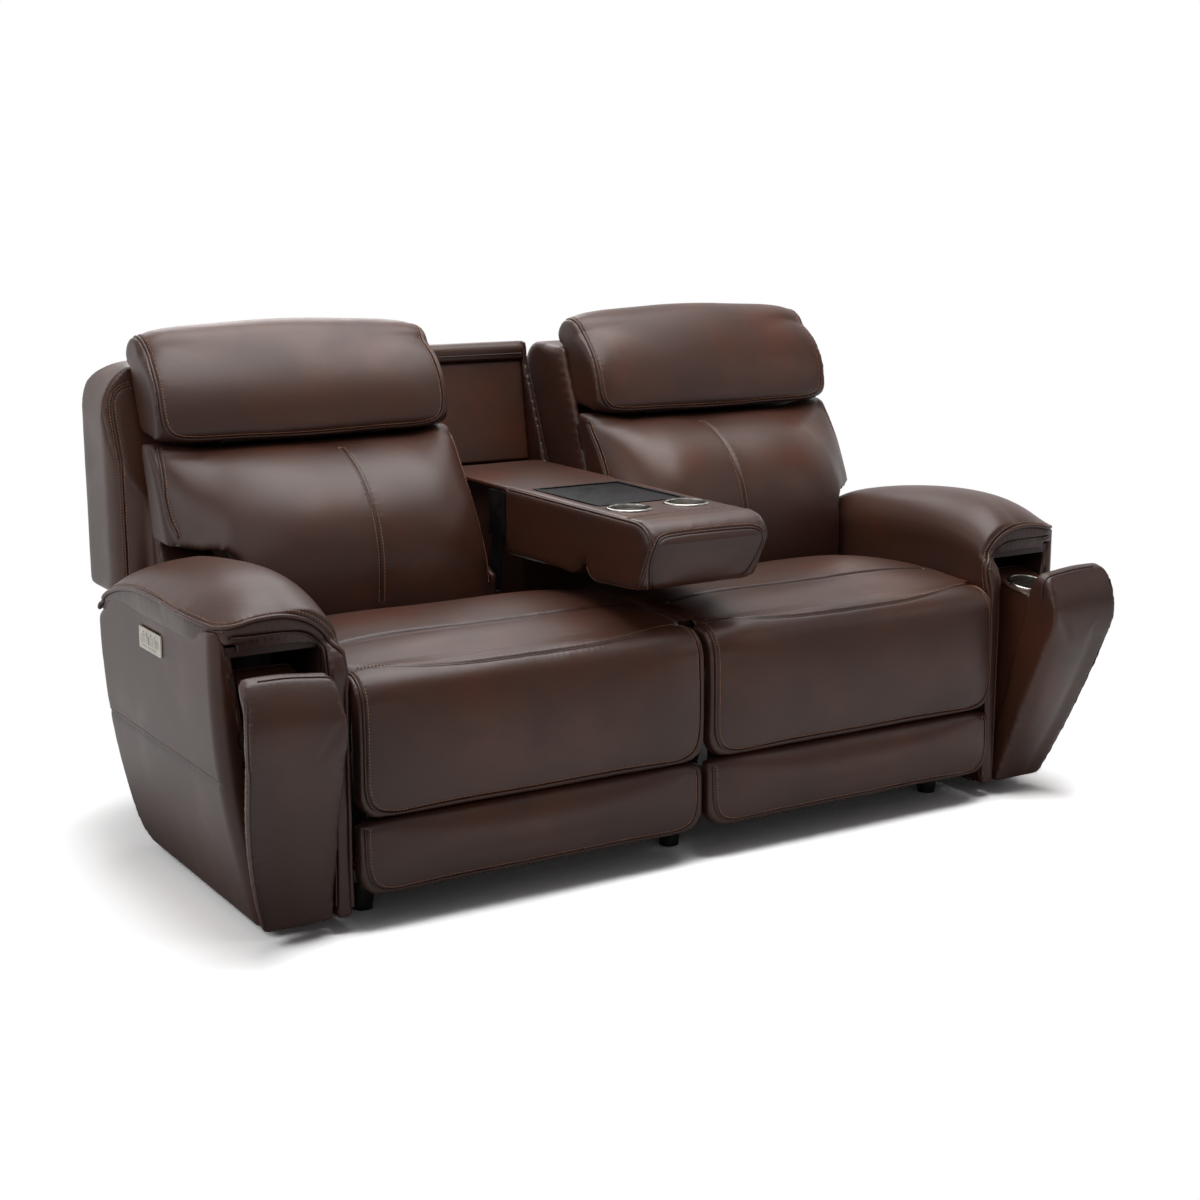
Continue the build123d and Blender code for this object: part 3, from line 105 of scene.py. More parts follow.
class Side(Enum):
    """The two halves, seen from the front."""

    LEFT = -1
    RIGHT = 1

    @property
    def tag(self) -> str:
        """Word that ends the names of this half's nodes."""
        return self.name.lower()

    def flip(self, points: np.ndarray) -> np.ndarray:
        """Points of the right-hand half, put on this one."""
        return np.asarray(points) * np.array([float(self.value), 1.0, 1.0])


# Meshes and paths


def coords(mesh: Mesh) -> np.ndarray:
    """Vertex places of a mesh, one row each."""
    out = np.empty(len(mesh.vertices) * 3)
    mesh.vertices.foreach_get("co", out)
    return out.reshape(-1, 3)


def move_to(mesh: Mesh, places: np.ndarray) -> None:
    """Put a mesh's vertices at new places."""
    mesh.vertices.foreach_set("co", places.ravel())
    mesh.update()


def normals(mesh: Mesh) -> np.ndarray:
    """Vertex normals of a mesh, one row each."""
    out = np.empty(len(mesh.vertices) * 3, np.float32)
    mesh.vertex_normals.foreach_get("vector", out)
    return out.reshape(-1, 3).astype(float)


def link(name: str, data: bpy.types.ID) -> Object:
    """Put a mesh, lamp or camera in the scene as a new object at the origin."""
    obj = bpy.data.objects.new(name, data)
    bpy.context.scene.collection.objects.link(obj)
    return obj


@contextmanager
def editing(mesh: Mesh) -> Iterator[bmesh.types.BMesh]:
    """Editable form of a mesh, written back to it at the end."""
    form = bmesh.new()
    form.from_mesh(mesh)
    yield form
    form.to_mesh(mesh)
    form.free()


def settle(obj: Object) -> None:
    """Turn an object's modifiers into its plain mesh."""
    graph = bpy.context.evaluated_depsgraph_get()
    graph.update()
    mesh = bpy.data.meshes.new_from_object(obj.evaluated_get(graph))
    obj.modifiers.clear()
    obj.data = mesh


def shade(obj: Object, material: Material) -> None:
    """Give a piece one material and smooth shading."""
    obj.data.materials.clear()
    obj.data.materials.append(material)
    obj.data.polygons.foreach_set("use_smooth", [True] * len(obj.data.polygons))


def shade_seams(mesh: Mesh, far: np.ndarray, tone: float) -> None:
    """Note how much darker the hide is painted near its seams: a wide band darker towards each seam, and
    painted shade in the seam's groove.

    Args:
        mesh: The piece's mesh.
        far: Distance of each vertex to the nearest seam.
        tone: Strength of the painted shade in the seam's groove itself, beyond the wide darkening on both
            sides.
    """
    # Painted shade: a narrow dark line where the seam's groove is, over a wide band darker towards the seam.
    value = 0.48 * np.exp(-far / 0.03) + tone * np.exp(-((far / 0.004) ** 2))
    layer = mesh.attributes.new("seam_shade", "FLOAT", "POINT")
    layer.data.foreach_set("value", value.astype(np.float32))


def even_path(points: Sequence[Point], step: float, closed: bool = False) -> np.ndarray:
    """Smooth line through points, resampled evenly.

    Args:
        points: Places that the line runs through.
        step: Distance between the new points.
        closed: True where the line ends where it starts.

    Returns:
        The new points, one row each.
    """
    p = np.array(points, float)
    p = np.vstack([p[-1], p, p[0], p[1]]) if closed else np.vstack([2 * p[0] - p[1], p, 2 * p[-1] - p[-2]])
    t = np.linspace(0, 1, 24, endpoint=False)[:, None]
    runs = []
    for a, b, c, d in zip(p[:-3], p[1:-2], p[2:-1], p[3:]):
        runs.append(
            0.5 * (2 * b + (c - a) * t + (2 * a - 5 * b + 4 * c - d) * t**2 + (3 * b - a - 3 * c + d) * t**3)
        )
    line = np.vstack(runs + [p[-2][None]])
    length = np.concatenate([[0], np.cumsum(np.linalg.norm(np.diff(line, axis=0), axis=1))])
    count = max(3, int(length[-1] / step) + 1)
    at = np.linspace(0, length[-1], count)
    return np.stack([np.interp(at, length, line[:, k]) for k in range(3)], axis=1)


def surface_of(mesh: Mesh) -> BVHTree:
    """Search tree of a mesh's faces."""
    return BVHTree.FromPolygons([v.co for v in mesh.vertices], [tuple(p.vertices) for p in mesh.polygons])


def lay_on(tree: BVHTree, line: np.ndarray) -> tuple[np.ndarray, np.ndarray]:
    """Nearest places on a surface to a line's points, and the normals there."""
    places, faces = [], []
    for point in line:
        hit, normal, _, _ = tree.find_nearest(Vector(point))
        places.append(hit)
        faces.append(normal)
    return np.array(places, float), np.array(faces, float)


def calm(line: np.ndarray, rounds: int) -> np.ndarray:
    """Even out a line's points, with its two ends kept."""
    out = line.copy()
    for _ in range(rounds):
        out[1:-1] = 0.5 * out[1:-1] + 0.25 * (out[:-2] + out[2:])
    return out


def mirror_piece(obj: Object, name: str) -> Object:
    """Mirror image of a piece as a new object, with its faces outwards."""
    mesh = obj.data.copy()
    move_to(mesh, Side.LEFT.flip(coords(mesh)))
    mesh.flip_normals()
    return link(name, mesh)


def ramp(values: np.ndarray, low: float, high: float) -> np.ndarray:
    """Smooth step from 0 at low to 1 at high."""
    t = np.clip((values - low) / (high - low), 0, 1)
    return t * t * (3 - 2 * t)


def rounding(a: np.ndarray, b: np.ndarray, radius: float) -> tuple[np.ndarray, np.ndarray]:
    """How far points outside a round corner lie beyond it.

    Args:
        a: Distances past the corner's centre, one way.
        b: Distances past the centre, the other way.
        radius: Radius of the corner.

    Returns:
        The distances to take off, both ways.
    """
    reach = np.hypot(a, b)
    outside = (a > 0) & (b > 0) & (reach > radius)
    pull = np.where(outside, radius / np.maximum(reach, TINY), 1.0)
    return np.where(outside, a * (1 - pull), 0.0), np.where(outside, b * (1 - pull), 0.0)


# Shader and geometry node trees


class Graph:
    """Short way to add and join the nodes of one tree."""

    def __init__(self, tree: NodeTree) -> None:
        """Work on one node tree."""
        self.tree = tree

    def add(self, kind: str, inputs: dict[Any, Any] | None = None, **settings: Any) -> Node:
        """Add a node.

        Args:
            kind: Node type.
            inputs: Values or output sockets by input name or number.
            settings: Properties of the node.

        Returns:
            The new node.
        """
        node = self.tree.nodes.new(kind)
        for key, value in settings.items():
            setattr(node, key, value)
        self.feed(node, inputs or {})
        return node

    def feed(self, node: Node, inputs: dict[Any, Any]) -> None:
        """Give a node's inputs their values, or join them to the sockets they come from."""
        for key, value in inputs.items():
            if isinstance(value, NodeSocket):
                self.tree.links.new(value, node.inputs[key])
            else:
                node.inputs[key].default_value = value

    def math(self, operation: str, a: Any, b: Any = 0.0) -> NodeSocket:
        """Result of a sum on one or two values."""
        return self.add("ShaderNodeMath", {0: a, 1: b}, operation=operation).outputs[0]

    def blend(self, share: Any, a: Any, b: Any) -> NodeSocket:
        """Colour between two colours."""
        node = self.add("ShaderNodeMix", {0: share, 6: a, 7: b}, data_type="RGBA")
        return node.outputs[2]

    def band(
        self, value: Any, low: float, high: float, start: float = 0.0, end: float = 1.0
    ) -> NodeSocket:
        """A value spread from one range to another, with its ends clamped."""
        inputs = {0: value, 1: low, 2: high, 3: start, 4: end}
        return self.add("ShaderNodeMapRange", inputs, interpolation_type="SMOOTHSTEP").outputs[0]

    def place(self) -> NodeSocket:
        """Object coordinates."""
        return self.add("ShaderNodeTexCoord").outputs["Object"]

    def cloud(self, place: NodeSocket, scale: Any, detail: float, **more: float) -> NodeSocket:
        """Noise at a place."""
        inputs = {"Vector": place, "Scale": scale, "Detail": detail, **more}
        return self.add("ShaderNodeTexNoise", inputs).outputs[0]

    def bump(self, height: NodeSocket, distance: float, strength: float) -> NodeSocket:
        """Normal of a surface with a fine relief."""
        inputs = {"Height": height, "Distance": distance, "Strength": strength}
        return self.add("ShaderNodeBump", inputs).outputs[0]

    def group(self, tree: NodeTree, inputs: dict[str, Any]) -> Any:
        """Output sockets of a group placed in this tree."""
        return self.add("ShaderNodeGroup", inputs, node_tree=tree).outputs


def new_tree(
    name: str, kind: str, inputs: Iterable[tuple[str, str, Any]], outputs: Iterable[tuple[str, str]]
) -> tuple[NodeTree, Graph, Any]:
    """Empty node group with named sockets.

    Args:
        name: The group's name.
        kind: Type of its tree.
        inputs: Name, socket type and start value of each input.
        outputs: Name and socket type of each output.

    Returns:
        The group, its graph and its input sockets.
    """
    tree = bpy.data.node_groups.new(name, kind)
    for label, socket_kind, value in inputs:
        socket = tree.interface.new_socket(label, in_out="INPUT", socket_type=socket_kind)
        if value is not None:
            socket.default_value = value
    for label, socket_kind in outputs:
        tree.interface.new_socket(label, in_out="OUTPUT", socket_type=socket_kind)
    graph = Graph(tree)
    return tree, graph, graph.add("NodeGroupInput").outputs


def hide_grain() -> NodeTree:
    """Group for the pebbled grain and fine creases of leather."""
    inputs = [("Vector", VECTOR, None), ("Pebble", FLOAT, 620.0)]
    tree, graph, source = new_tree("hide_grain", SHADER_TREE, inputs, [("Height", FLOAT)])
    cells = graph.add(
        "ShaderNodeTexVoronoi", {"Vector": source[0], "Scale": source[1], "Randomness": 1.0},
        feature="SMOOTH_F1",
    )
    fine = graph.cloud(source[0], 260.0, 3.0)
    fold = graph.cloud(source[0], 34.0, 5.0, Distortion=0.8)
    crease = graph.band(graph.math("ABSOLUTE", graph.math("SUBTRACT", fold, 0.5)), 0.0, 0.06)
    pebbles = graph.math("MULTIPLY", cells.outputs["Distance"], 0.5)
    height = graph.math("ADD", pebbles, graph.math("MULTIPLY", fine, 0.5))
    height = graph.math("ADD", height, graph.math("MULTIPLY", crease, 0.15))
    graph.add("NodeGroupOutput", {0: height})
    return tree


def burnish() -> NodeTree:
    """Group for leather colour: hand-rubbed warm patches at random, and darkening towards the seams with
    painted shade in their grooves.
    """
    inputs = [("Vector", VECTOR, None), ("Seam", FLOAT, 0.0)]
    outputs = [("Warm", FLOAT), ("Dark", FLOAT)]
    tree, graph, source = new_tree("burnish", SHADER_TREE, inputs, outputs)
    wide = graph.cloud(source[0], 3.4, 2.0, Roughness=0.5)
    near = graph.cloud(source[0], 9.0, 3.0, Roughness=0.55)
    warm = graph.math("MULTIPLY", graph.band(wide, 0.36, 0.66, 0.0, 0.85), graph.band(near, 0.2, 0.75))
    # Darker towards the seams, with the painted shade of their grooves, broken up by noise.
    darker_near_seams = graph.math("MULTIPLY", source[1], graph.band(near, 0.2, 0.7, 0.55, 1.0))
    graph.add("NodeGroupOutput", {0: warm, 1: darker_near_seams})
    return tree


def scuffs() -> NodeTree:
    """Group for the fine uneven gloss of a handled hard surface."""
    inputs = [("Vector", VECTOR, None), ("Scale", FLOAT, 60.0)]
    outputs = [("Mask", FLOAT), ("Height", FLOAT)]
    tree, graph, source = new_tree("scuffs", SHADER_TREE, inputs, outputs)
    broad = graph.cloud(source[0], source[1], 4.0)
    fine = graph.cloud(source[0], 900.0, 2.0)
    graph.add("NodeGroupOutput", {0: graph.band(broad, 0.35, 0.7), 1: fine})
    return tree


def colour(r: float, g: float, b: float) -> tuple[float, float, float, float]:
    """Colour written as screen values from 0 to 255, made linear."""
    return tuple(
        (v / 255 / 12.92) if v <= 10 else ((v / 255 + 0.055) / 1.055) ** 2.4 for v in (r, g, b)
    ) + (1.0,)


def grey(value: float) -> tuple[float, float, float, float]:
    """Linear grey."""
    return value, value, value, 1.0


def empty_graph(owner: Material | bpy.types.World) -> Graph:
    """Node tree of a material or a world, emptied."""
    owner.use_nodes = True
    owner.node_tree.nodes.clear()
    return Graph(owner.node_tree)


def start_material(name: str) -> tuple[Material, Graph, Node]:
    """New material with an empty tree, its graph and its main shader."""
    material = bpy.data.materials.new(name)
    graph = empty_graph(material)
    shader = graph.add("ShaderNodeBsdfPrincipled")
    graph.add("ShaderNodeOutputMaterial", {0: shader.outputs[0]})
    return material, graph, shader


@dataclass(frozen=True)
class LeatherFinish:
    """Rubbed, lightly waxed upholstery leather."""

    name: str = "rubbed_leather"
    ground: tuple = (61, 36, 27)
    warm: tuple = (84, 46, 29)
    # Colour of the darkening towards the seams, with painted shade in their grooves.
    dark: tuple = (28, 15, 12)
    rough: float = 0.40
    grain: float = 0.00007
    shine: float = 0.42

    def material(
        self, grain_group: NodeTree, patches_and_shade_group: NodeTree
    ) -> Material:
        """Build the finish."""
        material, graph, shader = start_material(self.name)
        place = graph.place()
        seam = graph.add("ShaderNodeAttribute", attribute_name="seam_shade").outputs["Fac"]
        patches_and_shade = graph.group(patches_and_shade_group, {"Vector": place, "Seam": seam})
        base = graph.blend(patches_and_shade["Warm"], colour(*self.ground), colour(*self.warm))
        # Painted shade: darker towards the seams and in their grooves, from the seam_shade attribute.
        base = graph.blend(patches_and_shade["Dark"], base, colour(*self.dark))
        pebble = graph.group(grain_group, {"Vector": place})
        rough = graph.band(patches_and_shade["Warm"], 0.0, 0.6, self.rough + 0.03, self.rough - 0.03)
        relief = graph.bump(pebble["Height"], self.grain, 0.7)
        graph.feed(shader, {"Base Color": base, "Roughness": rough, "Normal": relief})
        graph.feed(shader, {"Specular IOR Level": self.shine})
        return material


@dataclass(frozen=True)
class ThreadFinish:
    """Bonded polyester sewing thread."""

    name: str = "sewing_thread"
    tone: tuple = (172, 120, 84)
    shadow: tuple = (120, 78, 52)

    def material(self) -> Material:
        """Build the finish."""
        material, graph, shader = start_material(self.name)
        ply = graph.band(graph.cloud(graph.place(), 900.0, 1.0), 0.35, 0.65)
        base = graph.blend(ply, colour(*self.shadow), colour(*self.tone))
        graph.feed(shader, {"Base Color": base, "Roughness": 0.6})
        return material


@dataclass(frozen=True)
class HardFinish:
    """Coated, moulded or bare hard surface."""

    name: str
    tone: tuple
    worn: tuple
    rough: tuple[float, float] = (0.4, 0.6)
    metal: float = 0.0
    grain: float = 0.00004
    scale: float = 60.0
    shine: float = 0.5

    def material(self, scuff_group: NodeTree) -> Material:
        """Build the finish."""
        material, graph, shader = start_material(self.name)
        marks = graph.group(scuff_group, {"Vector": graph.place(), "Scale": self.scale})
        base = graph.blend(marks["Mask"], colour(*self.tone), colour(*self.worn))
        rough = graph.band(marks["Mask"], 0.0, 1.0, *self.rough)
        relief = graph.bump(marks["Height"], self.grain, 0.6)
        graph.feed(shader, {"Base Color": base, "Roughness": rough, "Normal": relief})
        graph.feed(shader, {"Metallic": self.metal, "Specular IOR Level": self.shine})
        return material


@dataclass(frozen=True)
class SpunSteelFinish:
    """Stainless cup with turning marks round its own axis."""

    name: str = "spun_steel"
    tone: tuple = (196, 192, 186)
    dull: tuple = (150, 146, 140)

    def material(self) -> Material:
        """Build the finish."""
        material, graph, shader = start_material(self.name)
        place = graph.add("ShaderNodeMapping", {0: graph.place(), "Scale": (8.0, 8.0, 1400.0)})
        lines = graph.cloud(place.outputs[0], 1.0, 3.0)
        base = graph.blend(graph.band(lines, 0.3, 0.7), colour(*self.dull), colour(*self.tone))
        rough = graph.band(lines, 0.2, 0.8, 0.18, 0.34)
        relief = graph.bump(lines, 0.00004, 0.5)
        graph.feed(shader, {"Base Color": base, "Roughness": rough, "Metallic": 1.0, "Normal": relief})
        return material


class Workshop:
    """All finishes and shared node trees, made once."""

    def __init__(self) -> None:
        """Build every finish."""
        grain, rub_and_shade_tree, scuff = hide_grain(), burnish(), scuffs()
        lining = LeatherFinish("pocket_lining", (44, 27, 21), (54, 32, 23), (24, 14, 11), 0.5)
        tray = HardFinish("tray_sheet", (10, 10, 12), (15, 15, 17), (0.42, 0.55), 0.0, 0.00002, 25.0, 0.18)
        plate = HardFinish("champagne_plate", (232, 227, 212), (220, 214, 198), (0.3, 0.4))
        rocker = HardFinish("champagne_rocker", (214, 208, 192), (200, 194, 178), (0.32, 0.45))
        wire = HardFinish("spring_wire", (120, 118, 114), (92, 90, 86), (0.35, 0.5), 1.0)
        plastic = HardFinish("black_moulding", (18, 18, 19), (27, 27, 28), (0.38, 0.5))
        self.leather = LeatherFinish().material(grain, rub_and_shade_tree)
        self.lining = lining.material(grain, rub_and_shade_tree)
        self.thread = ThreadFinish().material()
        self.coat = HardFinish("black_coat", (26, 26, 28), (38, 38, 40), (0.42, 0.6)).material(scuff)
        self.plastic = plastic.material(scuff)
        self.tray = tray.material(scuff)
        self.wire = wire.material(scuff)
        self.plate = plate.material(scuff)
        self.rocker = rocker.material(scuff)
        self.ink = HardFinish("plate_marks", (58, 54, 48), (70, 66, 58), (0.5, 0.6)).material(scuff)
        self.steel = SpunSteelFinish().material()
        self.stitch_rows = stitch_rows()
        self.welt_run = welt_run()


def end_tree(graph: Graph, geometry: NodeSocket, material: NodeSocket) -> None:
    """Give a geometry tree's result real, smooth faces of one material."""
    real = graph.add("GeometryNodeRealizeInstances", {0: geometry})
    smooth = graph.add("GeometryNodeSetShadeSmooth", {0: real.outputs[0]})
    dressed = graph.add("GeometryNodeSetMaterial", {"Geometry": smooth.outputs[0], "Material": material})
    graph.add("NodeGroupOutput", {0: dressed.outputs[0]})


def even_curve(graph: Graph, lines: NodeSocket, step: Any) -> NodeSocket:
    """Curves along the edges of a mesh, with points at even steps."""
    curve = graph.add("GeometryNodeMeshToCurve", {0: lines}).outputs[0]
    return graph.add("GeometryNodeResampleCurve", {"Curve": curve, "Length": step}, mode="LENGTH").outputs[0]


def stitch_rows() -> NodeTree:
    """Tree that sets thread stitches along the edges of a mesh."""
    inputs = [
        ("Geometry", GEOMETRY, None), ("Pitch", FLOAT, 0.0065), ("Length", FLOAT, 0.0050),
        ("Thickness", FLOAT, 0.0019), ("Thread", MATERIAL, None),
    ]
    tree, graph, source = new_tree("stitch_rows", GEOMETRY_TREE, inputs, [("Geometry", GEOMETRY)])
    even = even_curve(graph, source["Geometry"], source["Pitch"])
    bead = graph.add("GeometryNodeMeshUVSphere", {"Segments": 6, "Rings": 4, "Radius": 0.5})
    thickness = source["Thickness"]
    size = graph.add("ShaderNodeCombineXYZ", {0: thickness, 1: thickness, 2: source["Length"]})
    stitch = graph.add("GeometryNodeTransform", {"Geometry": bead.outputs[0], "Scale": size.outputs[0]})
    along = graph.add("GeometryNodeInputTangent")
    turn = graph.add("FunctionNodeAlignRotationToVector", {"Vector": along.outputs[0]}, axis="Z")
    put = graph.add(
        "GeometryNodeInstanceOnPoints",
        {"Points": even, "Instance": stitch.outputs[0], "Rotation": turn.outputs[0]},
    )
    end_tree(graph, put.outputs[0], source["Thread"])
    return tree


def welt_run() -> NodeTree:
    """Tree that turns the edges of a mesh into round welts."""
    inputs = [("Geometry", GEOMETRY, None), ("Radius", FLOAT, 0.0024), ("Hide", MATERIAL, None)]
    tree, graph, source = new_tree("welt_run", GEOMETRY_TREE, inputs, [("Geometry", GEOMETRY)])
    even = even_curve(graph, source["Geometry"], 0.006)
    ring = graph.add("GeometryNodeCurvePrimitiveCircle", {"Resolution": 8, "Radius": source["Radius"]})
    body = graph.add("GeometryNodeCurveToMesh", {0: even, 1: ring.outputs[0], "Fill Caps": True})
    end_tree(graph, body.outputs[0], source["Hide"])
    return tree


def grow(
    name: str, lines: Sequence[np.ndarray], tree: NodeTree, values: dict[str, Any]
) -> Object:
    """Run a geometry tree along lines and keep the result as a plain mesh.

    Args:
        name: Name of the new piece.
        lines: Points of each line.
        tree: The geometry tree.
        values: Tree inputs by name.

    Returns:
        The new piece.
    """
    points = np.vstack(lines)
    edges, first = [], 0
    for line in lines:
        edges += [(first + i, first + i + 1) for i in range(len(line) - 1)]
        first += len(line)
    mesh = bpy.data.meshes.new(name)
    mesh.from_pydata([tuple(p) for p in points], edges, [])
    obj = link(name, mesh)
    modifier = obj.modifiers.new("grow", "NODES")
    modifier.node_group = tree
    for item in tree.interface.items_tree:
        if item.in_out == "INPUT" and item.name in values:
            modifier[item.identifier] = values[item.name]
    settle(obj)
    return obj


# Sewing


@dataclass(frozen=True)
class Seam:
    """A sewn line on the right-hand half, in the maker's frame.

    welt is the radius of the raised edge, or 0 for a flat seam. rows are the topstitch rows' distances to
    the left of the run, seen from outside.
    """

    points: Sequence[Point]
    welt: float = 0.0024
    rows: tuple[float, ...] = (0.008,)
    groove: float = 0.0028
    closed: bool = False


@dataclass
class Trim:
    """Welts and stitch rows that ride on one body."""

    welts: dict[float, list[np.ndarray]] = field(default_factory=dict)
    rows: list[np.ndarray] = field(default_factory=list)


class Sewing:
    """Collects the trim of every body and makes it at the end."""

    def __init__(self, shop: Workshop) -> None:
        """Start with no trim."""
        self.shop = shop
        self.trims: dict[str, Trim] = {}

    def add(self, body: str, welt: float, line: np.ndarray, rows: Sequence[np.ndarray]) -> None:
        """Note one sewn line's trim."""
        trim = self.trims.setdefault(body, Trim())
        if welt > 0:
            trim.welts.setdefault(welt, []).append(line)
        trim.rows += rows

    def make(self) -> None:
        """Grow all welts and stitches, one piece of each kind for each body."""
        for body, trim in self.trims.items():
            for number, (radius, lines) in enumerate(sorted(trim.welts.items())):
                values = {"Radius": radius, "Hide": self.shop.leather}
                welts = grow(f"welts_{body}_{number}", lines, self.shop.welt_run, values)
                self.ride(welts, body, "leather")
            if trim.rows:
                values = {"Thread": self.shop.thread}
                rows = grow(f"stitches_{body}", trim.rows, self.shop.stitch_rows, values)
                self.ride(rows, body, "leather")

    @staticmethod
    def ride(obj: Object, body: str, slot: str) -> None:
        """Fix a piece to its body."""
        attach(obj, body)
        LOG.info("%s rides on %s: %d faces", obj.name, body, len(obj.data.polygons))


@dataclass
class Cover:
    """A leather piece sewn over one CAD node of the right-hand half, or of the middle.

    A swell of 0 leaves it unstuffed. facing and reach say which way its stuffed side looks, and cap is the
    furthest that the stuffing may push it out.
    """

    name: str
    node: str
    body: str
    seams: tuple[Seam, ...]
    voxel: float = 0.008
    facing: Point = (0.0, -1.0, 0.0)
    reach: float = -0.2
    swell: float = 0.010
    cap: float = 0.024
    soften: int = 3
    wrinkle: float = 0.0010
    pair: bool = True
    shape: Callable[[np.ndarray], np.ndarray] | None = None

    def build(self, loom: "Loom") -> None:
        """Make the piece, its mirror image, and note their trim."""
        obj = loom.blank(self)
        lines = [loom.row_frame(even_path(s.points, loom.step, s.closed)) for s in self.seams]
        if self.swell:
            loom.stuff(self, obj, lines)
        loom.refine(obj, lines)
        trims = loom.sew(self, obj, lines)
        shade(obj, loom.shop.leather)
        loom.made[self.name] = obj
        pieces = [(obj, Side.RIGHT)]
        if self.pair:
            pieces.append((mirror_piece(obj, f"{self.name}_left"), Side.LEFT))
        for piece, side in pieces:
            tag = f"_{side.tag}" if self.pair else ""
            body = self.body if self.body == "base" else f"{self.body}{tag}"
            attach(piece, body)
            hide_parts(f"{self.node}{tag}")
            for welt, line, rows in trims:
                loom.sewing.add(body, welt, side.flip(line), [side.flip(r) for r in rows])
            LOG.info("%s replaces %s%s: %d faces", piece.name, self.node, tag, len(piece.data.polygons))


class Loom:
    """Makes covers: blank, stuffing, seams."""

    step = 0.004  # between the points of a seam
    weld = 1e-5  # vertices this close become one
    turn = 0.6  # part of a turn over which the hide goes from held to free
    hold = (0.004, 0.07)  # distances to a seam at which the hide is held, and free
    fine = 0.012  # faces this near a seam are split
    groove = 0.0045  # half width of a seam's groove
    pucker_pitch = 0.013  # small gathers beside a seam
    pucker_place = 0.010
    pucker_width = 0.007
    pucker_height = 0.0002
    fold_reach = 0.05  # distance from a seam to which folds run
    fold_scale = (22.0, 22.0, 16.0)
    fold_mean = 0.7
    lump_scale = 7.0  # slow unevenness of the stuffing
    row_lift = 0.0002  # of the stitches over the hide
    welt_show = 0.65  # share of a welt's radius that stands out
    # strength of the painted shade in a seam's groove
    seam_tone = 0.55

    def __init__(self, frame: dict[str, Any], shop: Workshop, sewing: Sewing) -> None:
        """Find the maker's frame from the front of the base rails."""
        self.frame = frame
        self.shop = shop
        self.sewing = sewing
        self.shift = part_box("base_frame")[0].y - RAIL_FRONT
        self.made: dict[str, Object] = {}

    def row_frame(self, points: np.ndarray) -> np.ndarray:
        """Points moved from the maker's frame to the part's."""
        return np.asarray(points, float) + np.array([0.0, self.shift, 0.0])

    def blank(self, cover: Cover) -> Object:
        """Even, softened mesh of a CAD node."""
        tag = "_right" if cover.pair else ""
        mesh = self.frame["nodes"][f"{cover.node}{tag}"].data.copy()
        with editing(mesh) as form:
            bmesh.ops.remove_doubles(form, verts=form.verts, dist=self.weld)
        mesh.materials.clear()
        obj = link(f"{cover.name}{tag}", mesh)
        solid = surface_of(mesh)
        remesh = obj.modifiers.new("even", "REMESH")
        remesh.mode = "VOXEL"
        remesh.voxel_size = cover.voxel
        settle(obj)
        move_to(obj.data, lay_on(solid, coords(obj.data))[0])
        if cover.soften:
            soft = obj.modifiers.new("soft", "SMOOTH")
            soft.factor = 0.5
            soft.iterations = cover.soften
            settle(obj)
        if cover.shape:
            places = coords(obj.data) - np.array([0.0, self.shift, 0.0])
            move_to(obj.data, self.row_frame(cover.shape(places)))
        return obj

    def allowed(self, cover: Cover, mesh: Mesh) -> np.ndarray:
        """How far each vertex may swell, from 0 to 1, by the way it faces."""
        toward = np.array(cover.facing) / np.linalg.norm(cover.facing)
        return ramp(normals(mesh) @ toward, cover.reach, cover.reach + self.turn)

    def stuff(self, cover: Cover, obj: Object, lines: Sequence[np.ndarray]) -> None:
        """Blow the piece up between its seams, which stay where they are."""
        mesh = obj.data
        places = coords(mesh)
        share = self.allowed(cover, mesh)
        far, _ = self.distance(mesh, lines)
        loose = ramp(far, *self.hold) * share
        step = self.inflate(obj, loose)
        size = np.linalg.norm(step, axis=1)
        step *= (np.minimum(1.0, cover.cap / np.maximum(size, TINY)) * share)[:, None]
        move_to(mesh, places + step)
        finer = obj.modifiers.new("finer", "SUBSURF")
        finer.levels = finer.render_levels = 1
        settle(obj)

    @staticmethod
    def inflate(obj: Object, loose: np.ndarray) -> np.ndarray:
        """Cloth simulation of a stuffed cover, held at its seams.

        Args:
            obj: The blank.
            loose: Freedom of each vertex, from 0 to 1.

        Returns:
            How far each vertex moves.
        """
        places = coords(obj.data)
        pins = obj.vertex_groups.new(name="held")
        for index, value in enumerate(1.0 - loose):
            if value > 0.02:
                pins.add([index], float(value), "REPLACE")
        cloth = obj.modifiers.new("stuffing", "CLOTH")
        cloth.settings.vertex_group_mass = "held"
        cloth.settings.quality = 4
        cloth.settings.mass = 0.4
        cloth.settings.tension_stiffness = cloth.settings.compression_stiffness = 12
        cloth.settings.bending_stiffness = 2.0
        cloth.settings.use_pressure = True
        cloth.settings.uniform_pressure_force = 4.0
        cloth.settings.effector_weights.gravity = 0.0
        cloth.collision_settings.use_collision = False
        cloth.point_cache.frame_start = 1
        cloth.point_cache.frame_end = CLOTH_FRAMES
        for number in range(1, CLOTH_FRAMES + 1):
            bpy.context.scene.frame_set(number)
        graph = bpy.context.evaluated_depsgraph_get()
        moved = coords(obj.evaluated_get(graph).data)
        obj.modifiers.remove(cloth)
        obj.vertex_groups.remove(pins)
        bpy.context.scene.frame_set(1)
        return moved - places

    def distance(self, mesh: Mesh, lines: Sequence[np.ndarray]) -> tuple[np.ndarray, np.ndarray]:
        """Distance from each vertex to the nearest seam, and how far along the seams that is."""
        places = coords(mesh)
        if not lines:
            return np.full(len(places), 1.0), np.zeros(len(places))
        points = np.vstack(lines)
        tree = KDTree(len(points))
        for index, point in enumerate(points):
            tree.insert(point, index)
        tree.balance()
        found = [tree.find(p) for p in places]
        return np.array([f[2] for f in found]), np.array([f[1] * self.step for f in found])

